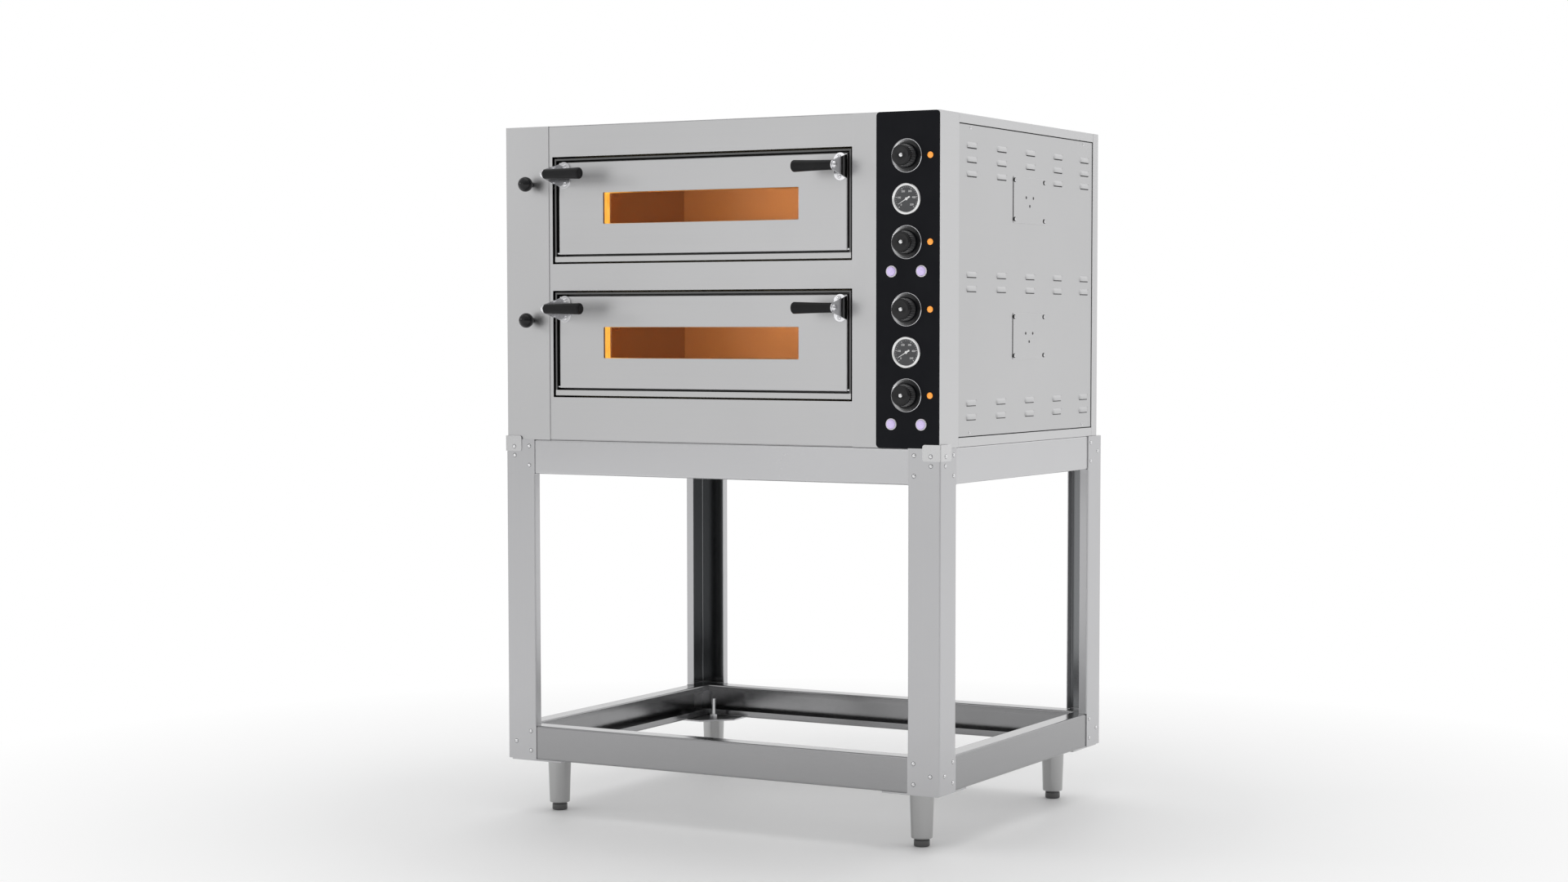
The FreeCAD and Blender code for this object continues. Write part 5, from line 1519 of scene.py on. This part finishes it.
    def build(self) -> None:
        """Makes every control."""
        formed("control_plate", 0.5 * MM, "black_plate")
        self.bezels()
        for name in ("lower_deck_floor", "lower_deck_roof", "upper_deck_floor", "upper_deck_roof"):
            self.knob(f"knob_{name}")
        self.gauges()
        cases = sorted(islands("gauge_cases"), key=lambda box: box[0][2])
        for deck, case in zip(DECKS, cases):
            self.pointer(deck, case)
        self.lamps()
        self.switches()
        formed("thermostats", 0.8 * MM, "black_nylon")


@dataclass
class Doors:
    """The two drop-down doors with their windows, handles and hinge pins."""

    sheet: float = 1.2 * MM
    edge: float = 3.0 * MM
    window_corner: float = 1.2 * MM
    sleeve_gap: float = 0.3 * MM
    bracket_size: tuple[float, float] = (31 * MM, 58 * MM)
    bracket_sheet: float = 3 * MM
    bracket_edge: float = 0.6 * MM
    eye: float = 10 * MM
    nut: float = 8 * MM

    def panes(self, deck: str) -> tuple[Array, Array]:
        """The boxes of a door's outer pane and of its inner pane."""
        outer, inner = sorted(islands(f"window_glass_{deck}"), key=lambda box: box[0][1])
        return outer, inner

    def skin(self, deck: str) -> None:
        """The outer sheet: its edges roll back in a quarter circle and the window is cut through.

        The loops run from the back edge round the rolled edge to the window and back inside.

        Args:
            deck: lower or upper.
        """
        node = f"door_skin_{deck}"
        low, high = box_of(node)
        middle, size = (low + high) / 2, high - low
        window = self.panes(deck)[1]
        shift = (window.mean(0) - middle)[[0, 2]]
        wide, tall = (window[1] - window[0])[[0, 2]]
        fold, sheet, edge = size[1], self.sheet, self.edge

        def outer(inset: float, level: float) -> Array:
            """The door's outline drawn in by inset, at a level above its face."""
            return raised(rounded_rectangle(size[0] - 2 * inset, size[2] - 2 * inset,
                                            max(1.5 * MM - inset, 0.3 * MM), 5), (level,))[0]

        def opening(grow: float, level: float) -> Array:
            """The window's outline grown all round, at a level."""
            return raised(rounded_rectangle(wide + 2 * grow, tall + 2 * grow,
                                            self.window_corner, 5) + shift, (level,))[0]

        def roll(start: float, radius: float) -> list[Array]:
            """A quarter circle of outlines from the side of the fold to the face."""
            turns = np.radians(np.linspace(0, 90, 6))
            return [outer(start + radius * (1 - math.cos(turn)),
                          -start - radius * (1 - math.sin(turn))) for turn in turns]

        loops = [outer(0, -fold), *roll(0, edge),
                 opening(0.3 * MM, 0), opening(0, -0.3 * MM), opening(0, -sheet),
                 *roll(sheet, edge - sheet)[::-1], outer(sheet, -fold)]
        points = Facing.FRONT.place(np.stack(loops), (middle[0], low[1], middle[2]))
        shell = Surface().grid(points, around=True, along=True)
        attach(shell.object(f"{node}_formed"), f"door_{deck}", "front_steel", node)

    def glass(self, deck: str) -> None:
        """The two panes with ground edges."""
        surface = Surface()
        for low, high in islands(f"window_glass_{deck}"):
            middle, size = (low + high) / 2, high - low
            surface.pressed((size[0], size[2]), 2 * MM, size[1], 0.5 * MM, Facing.FRONT,
                            (middle[0], high[1], middle[2]))
        attach(surface.object(f"window_panes_{deck}"), f"door_{deck}", "amber_glass",
               f"window_glass_{deck}")

    def reveal(self, deck: str) -> None:
        """The lining of the window's tunnel between the two panes, bright with painted light: a
        thin closed sleeve.
        """
        outer, inner = self.panes(deck)
        middle, size = inner.mean(0), inner[1] - inner[0]
        depth = inner[0][1] - outer[1][1] - 2 * self.sleeve_gap
        loops = [raised(rounded_rectangle(size[0] - 2 * inset, size[2] - 2 * inset,
                                          self.window_corner, 5), (level,))[0]
                 for inset, level in ((0.2 * MM, 0), (0.2 * MM, depth), (0.7 * MM, depth),
                                      (0.7 * MM, 0))]
        seat = (middle[0], inner[0][1] - self.sleeve_gap, middle[2])
        sleeve = Surface().grid(Facing.FRONT.place(np.stack(loops), seat), around=True, along=True)
        attach(sleeve.object(f"window_reveal_{deck}"), f"door_{deck}", "chamber_steel",
               finish="reveal_painted_glow")

    def gusset(self, reach: float) -> Array:
        """A gusset's loops, in u out of the door, v up and w along the grip.

        Its outline is two straight sides that meet the eye's circle. The loops at its two faces
        are drawn in towards the middle by the edge's width.

        Args:
            reach: from the door's face to the eye's centre.

        Returns:
            Four loops, from the outer face to the inner.
        """
        thick, edge, foot = self.bracket_sheet, self.bracket_edge, self.bracket_size[1] / 2
        tip = arc(self.eye, 78, -78, 15) * (0.98, 1) + (reach, 0)
        outline = np.vstack([[0.3 * MM, foot - 4 * MM], tip, [0.3 * MM, 4 * MM - foot]])
        way = outline - outline.mean(0)
        way = way / np.linalg.norm(way, axis=1, keepdims=True)
        return np.stack([raised(outline - way * shrink, (offset,))[0] for offset, shrink in
                         ((0, edge), (edge, 0), (thick - edge, 0), (thick, edge))])

    def brackets(self, deck: str) -> None:
        """Handle brackets: a round-ended plate, two screws, a gusset with a round eye and a nut.

        Args:
            deck: lower or upper.
        """
        plates, gussets = Surface(), Surface()
        door_low, door_high = box_of(f"door_skin_{deck}")
        face, door_middle = door_low[1], (door_low[0] + door_high[0]) / 2
        wide, thick = self.bracket_size[0], self.bracket_sheet
        screw = np.vstack([[0, 0], dome(5.2 * MM, 3.0 * MM, 0, 7)[:-2],
                           np.array([[1.9, 2.75], [1.7, 1.2], [0, 1.2]]) * MM])
        stud = np.array([[0, 0], [4.2, 0], [4.2, 6], [0, 6]]) * MM
        cap = np.vstack([[0, 0], [7.4 * MM, 0], [self.nut, 0.6 * MM],
                         dome(self.nut, 6.6 * MM, 1.2 * MM, 10)])
        for low, high in islands(f"handle_grips_{deck}"):
            _, y, z = middle = (low + high) / 2
            left = middle[0] < door_middle
            edge, sign = (door_low[0], 1) if left else (door_high[0], -1)
            inwards, out = (Facing.RIGHT, Facing.LEFT) if left else (Facing.LEFT, Facing.RIGHT)
            plates.pressed(self.bracket_size, wide / 2 - 0.5 * MM, thick, 0.8 * MM, Facing.FRONT,
                           (edge + sign * wide / 2, face, z), 12)
            for up in (-20 * MM, 20 * MM):
                plates.turned(screw, 28, Facing.FRONT,
                              (edge + sign * (wide / 2 + 2 * MM), face - thick, z + up))
            loops = self.gusset(face - y) @ np.array([[0, -1, 0], [0, 0, 1], [sign, 0, 0]])
            gussets.stack(loops + (edge, face, z))
            gussets.turned(stud, 24, inwards, (edge + sign * thick, y, z))
            gussets.turned(cap, 40, out, (edge, y, z))
        attach(plates.object(f"handle_plates_{deck}"), f"door_{deck}", "chrome")
        attach(gussets.object(f"handle_gussets_{deck}"), f"door_{deck}", "chrome",
               f"handle_brackets_{deck}")

    def grips(self, deck: str) -> None:
        """Tapered grips: a moulded bead at the wide end, a shallow neck at the bracket."""
        surface = Surface()
        door_low, door_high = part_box(f"door_skin_{deck}")
        for low, high in islands(f"handle_grips_{deck}"):
            middle, (length, _, tall) = (low + high) / 2, high - low
            wide = tall / 2
            narrow = wide * 10.4 / 12.5
            share = np.linspace(0, 1, 9)[:, None]
            shank = np.column_stack([narrow + (wide - narrow) * share ** 1.4,
                                     3 * MM + (length - 8 * MM) * share])
            bead = dome(4.2 * MM, 4.6 * MM, length - 4.6 * MM, 9) + (wide - 4.2 * MM, 0)
            profile = np.vstack([[4.2 * MM, 0], [narrow - 1.2 * MM, 0],
                                 [narrow - 0.4 * MM, 0.5 * MM], [narrow, 1.6 * MM], shank, bead,
                                 [wide * 0.45, length - 0.25 * MM], [0, length - 0.6 * MM]])
            left = middle[0] < (door_low[0] + door_high[0]) / 2
            surface.turned(profile, 64, Facing.RIGHT if left else Facing.LEFT,
                           (low[0] if left else high[0], middle[1], middle[2]))
        attach(surface.object(f"handle_grips_{deck}_turned"), f"door_{deck}", "black_grip",
               f"handle_grips_{deck}")

    def build(self) -> None:
        """Makes both doors."""
        for deck in DECKS:
            self.skin(deck)
            self.glass(deck)
            self.grips(deck)
            formed(f"door_liner_{deck}", 0.4 * MM, "chamber_steel", f"door_{deck}", "liner_steel")
            self.reveal(deck)
            self.brackets(deck)
            formed(f"hinge_pins_{deck}", 0.3 * MM, "bright_steel", f"door_{deck}")


@dataclass
class Decks:
    """What stands behind the doors: mouths, seals, chambers, stones, elements, wool and vents."""

    damper_across: float = -468 * MM
    damper_levels: tuple[float, float] = (1104 * MM, 1403 * MM)
    damper_radius: float = 16 * MM

    def damper(self, deck: str, level: float) -> None:
        """A pull: its ball is a sine and cosine sweep, with a short ferrule where the rod enters.

        Args:
            deck: lower or upper.
            level: the rod's height.
        """
        node, radius = f"vent_damper_{deck}", self.damper_radius
        formed(node, 0.3 * MM, "bright_steel", node)
        ferrule = np.array([[0, -9], [4.6, -9], [5.6, -8], [5.6, 0.8], [0, 0.8]]) * MM
        seat = (self.damper_across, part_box(node)[0][1] + 2 * radius, level)
        surface = Surface().turned(arc(radius + 0.4 * MM, -90, 90, 41) + (0, radius), 80,
                                   Facing.FRONT, seat)
        surface.turned(ferrule, 36, Facing.FRONT, seat)
        attach(surface.object(f"vent_ball_{deck}"), node, "black_grip", finish="black_gloss")

    def build(self) -> None:
        """Makes the decks' inner parts and the vents."""
        # the mouth frames' dark finish is painted shade of the door gaps
        formed("mouth_frames", 0.6 * MM, "casing_steel", finish="frame_painted_shade")
        for node, slot, width in (("door_seals", "seal_rope", 0.9),
                                  ("chamber_lower", "chamber_steel", 0.4),
                                  ("chamber_upper", "chamber_steel", 0.4),
                                  ("deck_stones", "baking_stone", 1.5),
                                  ("heating_elements", "element_steel", 0.5),
                                  ("insulation", "mineral_wool", 2.0),
                                  ("flue_duct", "casing_steel", 0.3),
                                  ("cable_gland", "black_nylon", 0.8)):
            formed(node, width * MM, slot)
        for deck, level in zip(DECKS, self.damper_levels):
            self.damper(deck, level)


@dataclass
class Studio:
    """The plain pale floor, the soft lights and the camera."""

    camera_place: Point = (3.0047, -5.3915, 1.0858)
    azimuth: float = 28.785
    tilt: float = 3.491
    lens: float = 62.55
    sensor: float = 36.0
    shift: tuple[float, float] = (-0.0234, 0.0344)
    room: tuple[float, float, float, float] = (0.20, 0.60, 0.34, 0.72)
    floor_fade: tuple[float, float] = (1.0, 2.3)
    lamp_levels: tuple[float, float] = (1.09, 1.385)

    def floor(self) -> None:
        """A wide flat floor just under the feet, which fades to plain white away from the oven."""
        radius = np.array([30.0, 12.0, 6.0, 3.0, 1.5, 0.6, 0.0])
        item = Surface().turned(np.column_stack([radius, 0 * radius]), 72, Facing.UP,
                                (0, 0, -0.2 * MM)).object("studio_floor")
        shader = Shader("studio_floor")
        cloud = shader.noise(0.9, 2.0, 0.5)
        colour = shader.mix(cloud, (0.93,) * 3, (0.95,) * 3)
        x, y, _ = shader.axes(shader.place)
        far = ((x * x + y * y) ** 0.5).spread(*self.floor_fade)
        glow = shader.node("ShaderNodeEmission", None, {"Color": (1.0,) * 3, "Strength": 1.0})
        both = shader.node("ShaderNodeMixShader", None,
                           {0: far, 1: shader.surface.outputs[0], 2: glow.outputs[0]})
        shader.feed(shader.output.inputs["Surface"], both.outputs[0])
        item.data.materials.append(shader.finish(Base_Color=colour, Roughness=0.55 + cloud * 0.1))
        for face in item.data.polygons:
            if face.normal.z < 0:
                face.flip()

    def surroundings(self, tree: bpy.types.NodeTree) -> None:
        """A white backdrop, and a room that is light overhead and behind and dimmer elsewhere.

        The room's brightness is base + up max(z, 0) + front max(-0.55 x - 0.83 y, 0)^2
        + rear s(y), for a direction (x, y, z), where s rises from 0 to 1.

        Args:
            tree: the world's nodes.
        """
        graph = Graph(tree)
        base, up, front, rear = self.room
        x, y, z = graph.axes(graph.node("ShaderNodeTexCoord").outputs["Generated"])
        ahead = (x * -0.55 + y * -0.83).spread(0.0, 1.0)
        glow = (base + z.spread(0.0, 1.0) * up + ahead * ahead * front
                + y.spread(-0.05, 0.75) * rear)
        seen = graph.node("ShaderNodeLightPath").outputs["Is Camera Ray"]
        strength = graph.node("ShaderNodeMix", {"data_type": "FLOAT"}, {0: seen, 2: glow, 3: 1.0})
        backdrop = tree.nodes["Background"]
        graph.feed(backdrop.inputs["Color"], (1.0,) * 3)
        graph.feed(backdrop.inputs["Strength"], strength.outputs[0])

    def light(self, name: str, place: Point, aim: Point, size: float, power: float,
              colour: Point = (1.0, 1.0, 1.0)) -> None:
        """One square soft light.

        Args:
            name: the light's name.
            place: where it hangs.
            aim: the point it faces.
            size: its width and height.
            power: watts.
            colour: its colour.
        """
        lamp = bpy.data.lights.new(name, "AREA")
        lamp.shape, lamp.size, lamp.size_y = "RECTANGLE", size, size
        lamp.energy, lamp.color = power, colour
        item = bpy.data.objects.new(name, lamp)
        item.location = place
        item.rotation_euler = (Vector(aim) - Vector(place)).to_track_quat("-Z", "Y").to_euler()
        bpy.context.scene.collection.objects.link(item)

    def camera(self) -> None:
        """The camera looks nearly level from the right of the front, with a small shift."""
        lens = bpy.data.cameras.new("camera")
        lens.lens, lens.sensor_width = self.lens, self.sensor
        lens.shift_x, lens.shift_y = self.shift
        lens.clip_end = 200.0
        item = bpy.data.objects.new("camera", lens)
        item.location = self.camera_place
        item.rotation_euler = (math.radians(90 - self.tilt), 0.0, math.radians(self.azimuth))
        bpy.context.scene.collection.objects.link(item)
        bpy.context.scene.camera = item

    def build(self) -> None:
        """Sets the studio."""
        world = bpy.data.worlds.new("studio")
        world.use_nodes = True
        self.surroundings(world.node_tree)
        bpy.context.scene.world = world
        bpy.context.scene.view_settings.view_transform = "Standard"
        self.floor()
        self.camera()
        self.light("key", (-4.6, -3.0, 2.3), (0, 0, 1.1), 1.0, 19)
        self.light("front", (-1.5, -4.5, 1.7), (0.2, 0, 1.15), 1.6, 5)
        self.light("top", (0.2, -0.4, 4.4), (0, 0, 1.2), 2.4, 10)
        self.light("side", (5.4, 1.6, 2.6), (0, 0, 1.2), 2.0, 7)
        for deck, level in zip(DECKS, self.lamp_levels):
            self.light(f"chamber_lamp_{deck}", (-0.28, -0.27, level + 0.025),
                       (0.20, 0.14, level - 0.05), 0.06, 0.85, (1.0, 0.43, 0.14))


def main() -> None:
    """Builds the oven from the floor up, then the studio, and reports each piece."""
    logging.basicConfig(level=logging.INFO, format="%(message)s")
    for part in (Stand(), Casing(), Decks(), Doors(), Controls(), Studio()):
        LOG.info("%s", type(part).__name__)
        part.build()


if __name__ == "__main__":
    main()
